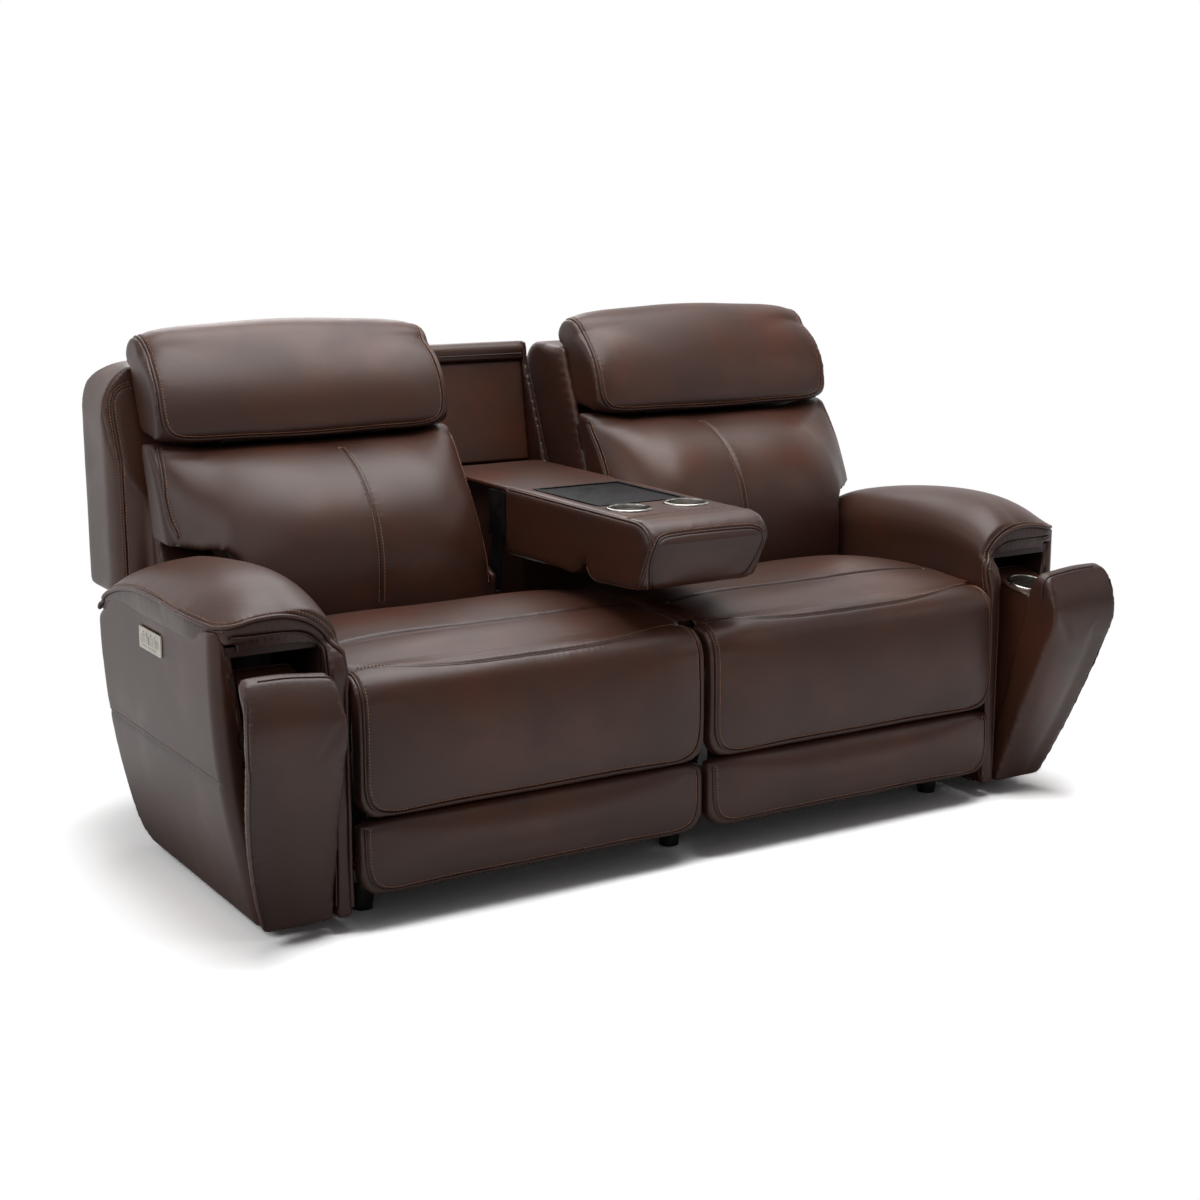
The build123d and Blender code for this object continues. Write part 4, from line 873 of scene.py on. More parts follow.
    def refine(self, obj: Object, lines: Sequence[np.ndarray]) -> None:
        """Split the faces near the seams."""
        if not lines:
            return
        far, _ = self.distance(obj.data, lines)
        close = far < self.fine
        with editing(obj.data) as form:
            form.verts.ensure_lookup_table()
            edges = [e for e in form.edges if close[e.verts[0].index] and close[e.verts[1].index]]
            bmesh.ops.subdivide_edges(form, edges=edges, cuts=1, use_grid_fill=True)

    def sew(self, cover: Cover, obj: Object, lines: list[np.ndarray]) -> list[Stitched]:
        """Pull the seams in, crease the hide beside them and find the trim's lines.

        Args:
            cover: The piece's sizes.
            obj: The stuffed piece.
            lines: Seams in the part's frame, near the surface.

        Returns:
            Welt radius, welt line and stitch rows of each seam.
        """
        mesh = obj.data
        tree = surface_of(mesh)
        laid = [calm(lay_on(tree, calm(line, 4))[0], 6) for line in lines]
        laid = [lay_on(tree, line) for line in laid]
        seam_lines = [places for places, _ in laid]
        far, along = self.distance(mesh, seam_lines)
        places, outward = coords(mesh), normals(mesh)
        depth = np.zeros(len(places))
        if lines:
            deepest = max(s.groove for s in cover.seams)
            depth -= deepest * np.exp(-((far / self.groove) ** 2))
            beside = np.exp(-(((far - self.pucker_place) / self.pucker_width) ** 2))
            pucker = np.sin(along * (2 * math.pi / self.pucker_pitch)) * beside
            depth += self.pucker_height * pucker
        depth += self.creases(cover, places, far)
        move_to(mesh, places + outward * depth[:, None])
        # Painted shade along the seams, kept in the seam_shade attribute.
        shade_seams(mesh, far, self.seam_tone)
        tree = surface_of(mesh)
        out = []
        for seam, (line, face) in zip(cover.seams, laid):
            run = np.gradient(line, axis=0)
            left = np.cross(face, run)
            left /= np.maximum(np.linalg.norm(left, axis=1), TINY)[:, None]
            rows = []
            for offset in seam.rows:
                row, up = lay_on(tree, calm(line + left * offset, 4))
                rows.append(row + up * self.row_lift)
            out.append((seam.welt, line - face * (seam.groove - seam.welt * self.welt_show), rows))
        return out

    def creases(self, cover: Cover, places: np.ndarray, far: np.ndarray) -> np.ndarray:
        """Soft unevenness of the stuffing and folds that run off the seams."""
        out = np.zeros(len(places))
        near = np.exp(-far / self.fold_reach)
        wide, deep, high = self.fold_scale
        for index, place in enumerate(places):
            p = Vector(place)
            slow = noise.noise(p * self.lump_scale)
            fold = 1.0 - abs(noise.noise(Vector((p.x * wide, p.y * deep, p.z * high))))
            out[index] = cover.wrinkle * (slow + near[index] * (fold - self.fold_mean))
        return out


# The pieces


def nose(angle: float, radius: float = NOSE_RADIUS) -> tuple[float, float]:
    """(y, z) on the round front of a seat, at an angle in degrees about the footrest's hinge."""
    turn = math.radians(angle)
    return HINGE[0] + radius * math.cos(turn), HINGE[1] + radius * math.sin(turn)


def widen(p: np.ndarray) -> np.ndarray:
    """Fill a seat's cover out to its neighbours at both sides, and the two pads towards each other."""
    out = p.copy()
    low, high = ramp(p[:, 2], 0.160, 0.200), ramp(p[:, 2], 0.217, 0.260)
    out[:, 2] += np.where(p[:, 2] < 0.211, 0.006 * low, -0.006 * (1 - high))
    outer = ramp(p[:, 0], SEAT_OUT - 0.05, SEAT_OUT)
    inner = ramp(-p[:, 0], -SEAT_IN - 0.05, -SEAT_IN)
    out[:, 0] += 0.004 * outer - 0.006 * inner
    return out


@dataclass
class Seat:
    """Crowned seat cushion."""

    cross_seam: float = 0.205
    inset: float = 0.030

    def covers(self) -> list[Cover]:
        """The seat's covers."""
        y = self.cross_seam
        ends = (SEAT_IN + self.inset, SEAT_OUT - self.inset)
        across = tuple((x, y, 0.50) for x in np.linspace(*ends, 9))
        seams = (Seam(across, welt=0.0, rows=(), groove=0.006),)
        return [
            Cover(
                "seat_cover", "seat_cushion", "seat", seams, facing=(0, -0.25, 1), reach=0.1, swell=0.008,
                cap=0.022, soften=6, shape=widen,
            )
        ]


@dataclass
class Footrest:
    """Curled upper pad and flat lower pad that swing out under the legs."""

    inset: float = 0.013
    border: float = 0.006
    high: float = 73.0
    drop: float = 49.0
    corner: float = 0.045
    upper: tuple[float, float] = (0.420, 0.217)
    lower: tuple[float, float] = (0.198, 0.067)

    def smile(self) -> tuple[Point, ...]:
        """Curved seam over the front of the seat."""
        half = SEAT_MID - SEAT_IN - self.inset
        points = []
        for u in np.linspace(-1, 1, 15):
            y, z = nose(self.high + self.drop * (1 - abs(u) ** 3))
            points.append((SEAT_MID + u * half, y, z))
        return tuple(points)

    def hem(self, top: Sequence[tuple[float, float]], bottom: float, lift: float) -> tuple[Point, ...]:
        """Seam down one side of a pad, along its foot and up the other side.

        Args:
            top: (y, z) places of the upright runs, from the top down.
            bottom: Height of the pad's lower edge.
            lift: Height of the seam over that edge.

        Returns:
            The seam's points, from the inner side to the outer.
        """
        near, far = SEAT_IN + self.border, SEAT_OUT - self.border
        low = bottom + lift
        bend = self.corner
        down = [(near, y, z) for y, z in top]
        turn = [
            (near + 0.002, 0.006, low + bend), (near + 0.3 * bend, 0.008, low + 0.3 * bend),
            (near + bend, 0.010, low),
        ]
        floor = [(x, 0.008, low) for x in np.linspace(near + 0.12, far - 0.12, 7)]
        back = [(near + far - x, y, z) for x, y, z in reversed(down + turn)]
        return tuple(down + turn + floor + back)

    def covers(self) -> list[Cover]:
        """The two pads' covers."""
        sides = [nose(a, 0.060) for a in (76, 95, 120, 150, 178)] + [(0.002, 0.36), (0.002, 0.30)]
        upper = (
            Seam(self.smile(), welt=0.0, rows=(), groove=0.003), Seam(self.hem(sides, self.upper[1], 0.007))
        )
        lower_sides = [(0.006, self.lower[0]), (0.006, 0.16)]
        lower = (Seam(self.hem(lower_sides, self.lower[1], 0.010), welt=0.0018),)
        return [
            Cover(
                "footrest_cover", "footrest_upper_pad", "footrest", upper, facing=(0, -1, 0.5), swell=0.007,
                cap=0.016, shape=widen,
            ),
            Cover(
                "footrest_band", "footrest_lower_pad", "footrest", lower, swell=0.006, cap=0.014,
                shape=widen,
            ),
        ]


@dataclass
class FrontPanel:
    """Leather between a seat's cross seam and the curved seam on its footrest, curved round the seat's nose
    about the hinge.
    """

    rear: float = 0.205
    edge: float = 70.0
    lift: float = 0.0022
    dip: float = 0.0016
    fade: float = 0.012
    thick: float = 0.002
    row: float = 0.008
    above: float = 0.600
    deepest: float = 0.128
    across: int = 97
    along: int = 44
    rounds: int = 90
    welt: float = 0.0014
    # strength of the painted shade in the grooves of the panel's two seams
    seam_tone: float = 0.5

    def ray(self, u: float, v: float, footrest: Footrest) -> tuple[Vector, Vector]:
        """Start and direction of the ray that finds one point of the panel.

        Args:
            u: Place across the seat, from -1 at the inner side to 1.
            v: Place along the panel, from 0 at the cross seam to 1 at the curved seam.
            footrest: The footrest that carries the curved seam.

        Returns:
            A point outside the seat, and the way to its surface.
        """
        half = SEAT_MID - SEAT_IN - footrest.inset + 0.006
        x = SEAT_MID + u * half
        last = footrest.high + footrest.drop * (1 - abs(u) ** 3)
        brink = nose(self.edge)[0]
        flat = self.rear - brink
        bend = NOSE_RADIUS * math.radians(last - self.edge)
        at = v * (flat + bend)
        if at < flat:
            return Vector((x, self.rear - at, self.above)), Vector((0, 0, -1))
        angle = self.edge + math.degrees((at - flat) / NOSE_RADIUS)
        y, z = nose(angle, self.above - HINGE[1])
        turn = math.radians(angle)
        return Vector((x, y, z)), Vector((0, -math.cos(turn), -math.sin(turn)))

    def grid(self, loom: Loom, footrest: Footrest) -> np.ndarray:
        """Places of the panel's points, by row across and column along."""
        trees = [surface_of(loom.made[name].data) for name in ("seat_cover", "footrest_cover")]
        shift = Vector((0.0, loom.shift, 0.0))
        out = np.zeros((self.across, self.along, 3))
        ways = np.zeros_like(out)
        reach = np.zeros((self.across, self.along))
        for i, u in enumerate(np.linspace(-1, 1, self.across)):
            for j, v in enumerate(np.linspace(0, 1, self.along)):
                origin, way = self.ray(u, v, footrest)
                hits = [tree.ray_cast(origin + shift, way) for tree in trees]
                depths = [h[3] for h in hits if h[0] is not None]
                out[i, j] = origin + shift
                reach[i, j] = min(depths) if depths else math.inf
                ways[i, j] = way
            ok = reach[i] < self.deepest
            reach[i] = np.interp(np.arange(self.along), np.flatnonzero(ok), reach[i][ok])
        out += ways * reach[:, :, None]
        for _ in range(self.rounds):
            mean = 0.25 * (out[:-2, 1:-1] + out[2:, 1:-1] + out[1:-1, :-2] + out[1:-1, 2:])
            keep = np.sum((mean - out[1:-1, 1:-1]) * ways[1:-1, 1:-1], axis=2, keepdims=True)
            out[1:-1, 1:-1] += 0.6 * keep * ways[1:-1, 1:-1]
        half = SEAT_MID - SEAT_IN
        side = (1 - np.abs(np.linspace(-1, 1, self.across))) * half
        run = self.lengths(out)
        inside = np.minimum(np.minimum(run, run[:, -1:] - run), side[:, None])
        rise = -self.dip + (self.lift + self.dip) * ramp(inside, 0.0, self.fade)
        return out - ways * rise[:, :, None]

    @staticmethod
    def lengths(grid: np.ndarray) -> np.ndarray:
        """Length along each of the grid's rows, up to each of its points."""
        spans = np.linalg.norm(np.diff(grid, axis=1), axis=2)
        return np.concatenate([np.zeros((len(grid), 1)), np.cumsum(spans, axis=1)], axis=1)

    def build(self, loom: Loom) -> None:
        """Make both seats' panels with their welts and stitches."""
        footrest = Footrest()
        grid = self.grid(loom, footrest)
        run = self.lengths(grid)
        stitched = np.array(
            [[np.interp(r[-1] - self.row, r, g[:, k]) for k in range(3)] for r, g in zip(run, grid)]
        )
        welt = grid[:, -1] + np.array([0.0, -0.0008, 0.0012])
        sheet = self.sheet(grid)
        shade(sheet, loom.shop.leather)
        # Painted shade along the panel's two seams: darker towards them and in their grooves.
        far = np.tile(np.minimum(run, run[:, -1:] - run).ravel(), 2)
        shade_seams(sheet.data, far, self.seam_tone)
        sewn = stitched[3:-3] + [0, -0.0009, 0.0014]
        thread = {"Thread": loom.shop.thread}
        hide = {"Radius": self.welt, "Hide": loom.shop.leather}
        for side in Side:
            tag = side.tag
            panel = mirror_piece(sheet, "seat_panel_left") if side is Side.LEFT else sheet
            row = grow(f"seat_panel_stitches_{tag}", [side.flip(sewn)], loom.shop.stitch_rows, thread)
            edge = grow(f"seat_panel_welt_{tag}", [side.flip(welt[1:-1])], loom.shop.welt_run, hide)
            for piece in (panel, row, edge):
                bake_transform(piece)
                LOG.info("%s bends from seat to footrest: %d faces", piece.name, len(piece.data.polygons))

    def sheet(self, grid: np.ndarray) -> Object:
        """Closed thin sheet whose upper side is the grid."""
        rows, columns = grid.shape[:2]
        under = grid.copy()
        ways = np.cross(np.gradient(grid, axis=0), np.gradient(grid, axis=1))
        ways /= np.maximum(np.linalg.norm(ways, axis=2, keepdims=True), TINY)
        under += ways * self.thick
        count = rows * columns
        faces = []
        for i in range(rows - 1):
            for j in range(columns - 1):
                a, b = i * columns + j, (i + 1) * columns + j
                faces.append((a, a + 1, b + 1, b))
                faces.append((count + a, count + b, count + b + 1, count + a + 1))
        rim = [(i, 0) for i in range(rows)] + [(rows - 1, j) for j in range(1, columns)]
        rim += [(i, columns - 1) for i in range(rows - 2, -1, -1)]
        rim += [(0, j) for j in range(columns - 2, 0, -1)]
        for (i, j), (k, m) in zip(rim, rim[1:] + rim[:1]):
            a, b = i * columns + j, k * columns + m
            faces.append((a, b, count + b, count + a))
        mesh = bpy.data.meshes.new("seat_panel_right")
        points = np.vstack([grid.reshape(-1, 3), under.reshape(-1, 3)])
        mesh.from_pydata([tuple(p) for p in points], [], faces)
        with editing(mesh) as form:
            bmesh.ops.recalc_face_normals(form, faces=form.faces)
        return link("seat_panel_right", mesh)


@dataclass
class Back:
    """Back cushion and the upholstered outside back with its wing."""

    inner: float = 0.183
    middle: float = 0.457
    corner: float = 0.112

    def cushion_seams(self) -> tuple[Seam, ...]:
        """Outline and middle seam of the cushion."""
        outer = (
            (0.834, 0.755, 0.795), (0.837, 0.715, 0.755), (0.838, 0.690, 0.705), (0.836, 0.670, 0.668),
            (0.828, 0.655, 0.645), (0.800, 0.640, 0.628), (0.765, 0.615, 0.607), (0.743, 0.590, 0.578),
            (0.733, 0.570, 0.540), (0.729, 0.558, 0.495),
        )
        inner = tuple(
            (self.inner, y, z)
            for y, z in ((0.748, 0.790), (0.70, 0.73), (0.65, 0.65), (0.60, 0.56), (0.57, 0.495))
        )
        profile = ((0.70, 0.787), (0.645, 0.75), (0.587, 0.71), (0.545, 0.65), (0.525, 0.585), (0.52, 0.495))
        middle = tuple((self.middle, y, z) for y, z in profile)
        return (
            Seam(outer, rows=(-0.008,)),
            Seam(inner, rows=(0.008,)),
            Seam(middle, welt=0.0012, rows=(0.006, -0.006), groove=0.0032),
        )

    def shell_seams(self) -> tuple[Seam, ...]:
        """Front seam round the wing, and the rear welts."""
        wing = (
            (0.842, 0.800, 0.958), (0.862, 0.806, 0.950), (0.878, 0.814, 0.930), (0.886, 0.819, 0.90),
            (0.888, 0.821, 0.84), (0.888, 0.821, 0.70), (0.888, 0.821, 0.56), (0.888, 0.821, 0.51),
        )
        rear = (
            (0.90, 1.035, 0.52), (0.90, 1.035, 0.70), (0.892, 1.033, 0.86), (0.86, 1.03, 0.905),
            (0.80, 1.03, 0.92), (0.30, 1.03, 0.92), (0.19, 1.03, 0.92),
        )
        return (Seam(wing, welt=0.0018, rows=(0.006, -0.006)), Seam(rear, welt=0.002, rows=(0.007,)))

    @staticmethod
    def cushion_shape(p: np.ndarray) -> np.ndarray:
        """Let the cushion's outer shoulder swell over the wing's edge."""
        out = p.copy()
        out[:, 0] += 0.008 * ramp(p[:, 0], 0.76, 0.835) * ramp(p[:, 2], 0.60, 0.66)
        ends = ramp(np.abs(p[:, 0] - 0.511), 0.22, 0.32)
        out[:, 2] += 0.014 * ends * ramp(p[:, 2], 0.70, 0.775)
        out[:, 2] -= 0.030 * ramp(p[:, 0], 0.748, 0.81) * ramp(-p[:, 2], -0.73, -0.655)
        out[:, 2] -= 0.030 * ramp(-p[:, 2], -0.56, -0.505)
        return out

    def wing_shape(self, p: np.ndarray) -> np.ndarray:
        """Round the wing's upper corner."""
        out = p.copy()
        across = p[:, 0] - (0.910 - self.corner)
        up = p[:, 2] - (0.966 - self.corner)
        inwards, down = rounding(across, up, self.corner)
        out[:, 0] -= inwards
        out[:, 2] -= down
        behind = p[:, 1] - (0.658 + 0.404 * (p[:, 2] - 0.360))
        lip = ramp(-behind, -0.016, -0.006) * ramp(-p[:, 0], -0.200, -0.190) * ramp(p[:, 2], 0.50, 0.54)
        out[:, 1] -= 0.037 * lip
        return out

    def covers(self) -> list[Cover]:
        """The back's covers."""
        return [
            Cover(
                "back_cover", "back_cushion", "back", self.cushion_seams(), facing=(0, -1, 0.35),
                swell=0.010, cap=0.024, soften=5, shape=self.cushion_shape,
            ),
            Cover(
                "wing_cover", "back_shell", "back", self.shell_seams(), voxel=0.009, swell=0.0, soften=4,
                shape=self.wing_shape,
            ),
        ]


@dataclass
class Headrest:
    """Lipped headrest roll."""

    ends: tuple[float, float] = (0.201, 0.829)

    def covers(self) -> list[Cover]:
        """The headrest's cover."""
        end = [(0.885, 1.022), (0.845, 1.020), (0.806, 1.002), (0.766, 0.948), (0.740, 0.895), (0.727, 0.862)]
        near, far = self.ends
        down = [(far, y, z) for y, z in end] + [(far - 0.006, 0.722, 0.842), (far - 0.026, 0.724, 0.827)]
        foot = [(x, 0.724, 0.822) for x in np.linspace(far - 0.09, near + 0.09, 8)]
        up = [(near + far - x, y, z) for x, y, z in reversed(down)]
        seams = (Seam(tuple(down + foot + up), rows=(-0.008,), welt=0.0030),)
        return [
            Cover(
                "headrest_cover", "headrest_pad", "headrest", seams, facing=(0, -1, 0.6), reach=-0.4,
                swell=0.008, cap=0.020, voxel=0.008, soften=3,
            )
        ]


@dataclass
class Arm:
    """Rolled arm top with its inner skirt, and the bulged outer side that turns into the bin's pocket."""

    seam_height: float = 0.297
    front: float = 0.0755
    corner: float = 0.026

    @staticmethod
    def face(z: np.ndarray) -> np.ndarray:
        """x of the outer side at a height."""
        rise = (z - 0.285) / 0.26
        return 0.919 + 0.070 * (z - 0.025) / 0.52 + 0.022 * (1 - rise * rise)

    def side_shape(self, p: np.ndarray) -> np.ndarray:
        """Round the side's front corner, and tuck its top under the roll."""
        out = p.copy()
        deep = self.face(p[:, 2]) - p[:, 0] - self.corner
        back = p[:, 1] - self.front - self.corner
        inwards, rearwards = rounding(-deep, -back, self.corner)
        out[:, 0] -= inwards
        out[:, 1] += rearwards
        rise = 0.012 + 0.018 * ramp(-p[:, 1], -0.18, -0.11)
        out[:, 2] += rise * ramp(p[:, 2] + 0.66 * np.maximum(p[:, 1] - 0.60, 0), 0.50, 0.545)
        return out

    @staticmethod
    def roll_shape(p: np.ndarray) -> np.ndarray:
        """Draw the roll's front end in, and drop its outer lip over the side."""
        out = p.copy()
        high = ramp(p[:, 2], 0.50, 0.55)
        out[:, 0] -= 0.011 * ramp(-p[:, 1], -0.20, -0.06) * ramp(p[:, 0], 0.86, 0.98) * high
        drop = 0.66 * np.maximum(p[:, 1] - 0.60, 0)
        lip = ramp(p[:, 0], 0.90, 0.975) * ramp(-(p[:, 2] + drop), -0.585, -0.553) * ramp(p[:, 1], 0.08, 0.14)
        brow = ramp(-p[:, 1], -0.17, -0.10) * ramp(-p[:, 2], -0.605, -0.562) * ramp(p[:, 0], 0.795, 0.83)
        brow *= ramp(-p[:, 0], -0.968, -0.930)
        out[:, 2] += 0.013 * brow * ramp(p[:, 2], 0.50, 0.535) - 0.010 * lip
        return out

    def covers(self) -> list[Cover]:
        """The arm's covers."""
        crown = (
            (0.993, 0.700, 0.500), (0.996, 0.683, 0.518), (0.998, 0.613, 0.556), (1.000, 0.452, 0.588),
            (1.000, 0.308, 0.591), (0.997, 0.201, 0.588), (0.990, 0.130, 0.584), (0.975, 0.085, 0.580),
            (0.950, 0.066, 0.584), (0.915, 0.062, 0.592), (0.863, 0.062, 0.594), (0.815, 0.062, 0.580),
            (0.783, 0.060, 0.553), (0.765, 0.053, 0.520), (0.758, 0.042, 0.480), (0.757, 0.034, 0.440),
            (0.757, 0.033, 0.35), (0.757, 0.033, 0.22), (0.757, 0.033, 0.125), (0.757, 0.034, 0.050),
        )
        pocket = (
            (0.955, 0.072, 0.564), (0.900, 0.070, 0.564), (0.840, 0.068, 0.561), (0.808, 0.060, 0.544),
            (0.791, 0.050, 0.505), (0.789, 0.040, 0.460), (0.789, 0.036, 0.40), (0.789, 0.036, 0.25),
            (0.789, 0.036, 0.12), (0.789, 0.037, 0.055),
        )
        pad = (
            Seam(crown, rows=(-0.011,), welt=0.0044, groove=0.0028),
            Seam(pocket, rows=(), welt=0.0018, groove=0.0015),
        )
        cross = tuple(
            (float(self.face(self.seam_height)), y, self.seam_height) for y in np.linspace(0.092, 0.69, 9)
        )
        side = (Seam(cross, welt=0.0, rows=(0.006,), groove=0.0014),)
        return [
            Cover(
                "arm_cover", "arm_pad", "base", pad, voxel=0.008, facing=(0.2, -0.2, 1), reach=0.1,
                swell=0.004, cap=0.012, soften=5, shape=self.roll_shape,
            ),
            Cover(
                "arm_side", "arm_panel", "base", side, voxel=0.007, swell=0.0, soften=3, wrinkle=0.0006,
                shape=self.side_shape,
            ),
        ]


@dataclass
class Bin:
    """Padded front and wrapped box of a bin, tipped out of the arm."""

    pivot: tuple[float, float] = (0.092, 0.052)
    tilt: float = 12.0
    thick: float = 0.028

    def swung(self, points: Any, angle: float) -> np.ndarray:
        """Points turned about the bin's hinge by an angle in degrees."""
        c, s = math.cos(math.radians(angle)), math.sin(math.radians(angle))
        p = np.array(points, float)
        a, b = p[:, 1] - self.pivot[0], p[:, 2] - self.pivot[1]
        return np.stack([p[:, 0], self.pivot[0] + c * a - s * b, self.pivot[1] + s * a + c * b], axis=1)

    def tipped(self, points: Any) -> np.ndarray:
        """Points of the shut bin moved to where they are when it is tipped out."""
        return self.swung(points, self.tilt)

    def shut(self, points: Any) -> np.ndarray:
        """Points of the tipped bin moved to where they are when it is shut."""
        return self.swung(points, -self.tilt)

    def front_shape(self, p: np.ndarray) -> np.ndarray:
        """Fill the padded front out to its outer edge."""
        q = self.shut(p)
        deep = ramp(q[:, 1] - self.front_at(q[:, 2]), self.thick - 0.004, self.thick + 0.004)
        wide = ramp(q[:, 0], 0.88, 0.97)
        inner = ramp(-q[:, 0], -0.93, -0.83)
        q[:, 2] -= (0.014 + 0.008 * inner) * ramp(q[:, 2], 0.40, 0.54)
        q[:, 0] += wide * (0.006 - 0.042 * deep)
        return self.tipped(q)

    def wrap_shape(self, p: np.ndarray) -> np.ndarray:
        """Run the box's front edges into the padded front."""
        q = self.shut(p)
        gap = 0.0702 - self.front_at(q[:, 2]) - self.thick + 0.006
        q[:, 1] -= gap * np.clip((0.130 - q[:, 1]) / 0.0598, 0, 1)
        q[:, 0] += np.maximum(0.024 * (q[:, 2] - 0.043) / 0.511 - 0.002, 0) * ramp(-q[:, 0], -0.850, -0.822)
        return self.tipped(q)

    @staticmethod
    def front_at(z: Any) -> Any:
        """y of the shut padded front at one height or many."""
        return np.interp(z, (0.043, 0.230, 0.401, 0.503, 0.554), (0.030, 0.006, -0.020, -0.010, 0.033))

    def covers(self) -> list[Cover]:
        """The bin's covers."""
        levels = np.linspace(0.520, 0.055, 10)
        edge = [(float(Arm.face(z)) + 0.003, float(self.front_at(z)) + 0.003, z) for z in levels]
        rim = [
            (0.824, 0.030, 0.486), (0.830, 0.036, 0.513), (0.850, 0.037, 0.531), (0.90, 0.037, 0.537),
            (0.962, 0.037, 0.536),
        ]
        front = (
            Seam(self.tipped(edge), welt=0.0016, rows=(0.009,), groove=0.0010),
            Seam(self.tipped(rim), welt=0.0016, rows=(), groove=0.0010),
        )
        shelf = [(0.808, y, 0.472) for y in np.linspace(0.080, 0.222, 5)]
        lip = [(x, 0.222, 0.472) for x in np.linspace(0.812, 0.93, 4)]
        wrap = (
            Seam(self.tipped(shelf), welt=0.0014, rows=(), groove=0.001),
            Seam(self.tipped(lip), welt=0.0014, rows=(), groove=0.001),
        )
        return [
            Cover(
                "bin_front", "bin_panel", "bin", front, voxel=0.007, swell=0.005, cap=0.010, soften=3,
                wrinkle=0.0006, shape=self.front_shape,
            ),
            Cover(
                "bin_wrap", "bin_box", "bin", wrap, voxel=0.006, swell=0.0, soften=1, wrinkle=0.0003,
                shape=self.wrap_shape,
            ),
        ]


@dataclass
class Table:
    """Padded centre table that folds up into the back."""

    half: float = 0.137
    top: float = 0.697
    low: float = 0.550

    def side_line(self, x: float) -> tuple[Point, ...]:
        """Welt round one side of the table, from the rear of its top round the nose to the crease below."""
        t, b = self.top - 0.002, self.low + 0.002
        profile = (
            (0.56, t), (0.45, t), (0.30, t), (0.15, t), (0.08, t), (0.045, t - 0.004), (0.020, t - 0.014),
            (0.004, t - 0.040), (0.020, b + 0.060), (0.040, b + 0.026), (0.055, b + 0.010),
            (0.085, b + 0.004), (0.14, b), (0.19, b), (0.222, b + 0.004), (0.240, b + 0.026),
        )
        return tuple((x, y, z) for y, z in profile)

    def covers(self) -> list[Cover]:
        """The table's cover."""
        w = self.half - 0.009
        face = (
            (0.0, 0.004, 0.677), (0.07, 0.004, 0.676), (w - 0.018, 0.006, 0.670), (w - 0.002, 0.008, 0.652),
            (w, 0.018, 0.622), (w - 0.008, 0.036, 0.588), (w - 0.022, 0.056, 0.566),
            (w - 0.040, 0.074, 0.556), (0.05, 0.086, 0.554), (0.0, 0.088, 0.554), (-0.05, 0.086, 0.554),
            (-w + 0.040, 0.074, 0.556), (-w + 0.022, 0.056, 0.566), (-w + 0.008, 0.036, 0.588),
            (-w, 0.018, 0.622), (-w + 0.002, 0.008, 0.652), (-w + 0.018, 0.006, 0.670),
            (-0.07, 0.004, 0.676),
        )
        strip = tuple((x, 0.112 - 0.018 * (x / self.half) ** 2, 0.697) for x in np.linspace(-0.128, 0.128, 9))
        seams = (
            Seam(face, rows=(0.007,), closed=True, welt=0.0020),
            Seam(strip, rows=(0.006,), welt=0.0014),
            Seam(self.side_line(self.half), rows=(), welt=0.0024),
            Seam(self.side_line(-self.half), rows=(), welt=0.0024),
        )
        cover = Cover(
            "table_cover", "table_pad", "table", seams, voxel=0.008, swell=0.004, cap=0.010, soften=3,
            pair=False,
        )
        return [cover]


@dataclass
class Console:
    """Upholstered recess behind the table."""

    inner: float = 0.147
    outer: float = 0.165

    def covers(self) -> list[Cover]:
        """The console's covers."""
        edge = (
            (0.642, 0.527), (0.76, 0.600), (0.892, 0.670), (0.93, 0.76), (0.97, 0.86), (0.998, 0.925),
            (1.007, 0.962),
        )
        seams = []
        for side in (-1, 1):
            for x in (self.inner + 0.002, self.outer - 0.002):
                seams.append(
                    Seam(tuple((side * x, y, z) for y, z in edge), welt=0.0014, rows=(), groove=0.0008)
                )
        rail = tuple((x, 0.992, 0.938) for x in np.linspace(-0.14, 0.14, 5))
        frame = (*seams, Seam(rail, welt=0.0014, rows=(), groove=0.0008))
        return [
            Cover(
                "console_cover", "console_frame", "base", frame, voxel=0.008, swell=0.0, soften=2,
                pair=False, wrinkle=0.0005,
            ),
            Cover(
                "console_lining", "console_panel", "base", (), voxel=0.007, swell=0.0, soften=2,
                pair=False, wrinkle=0.0012,
            ),
        ]


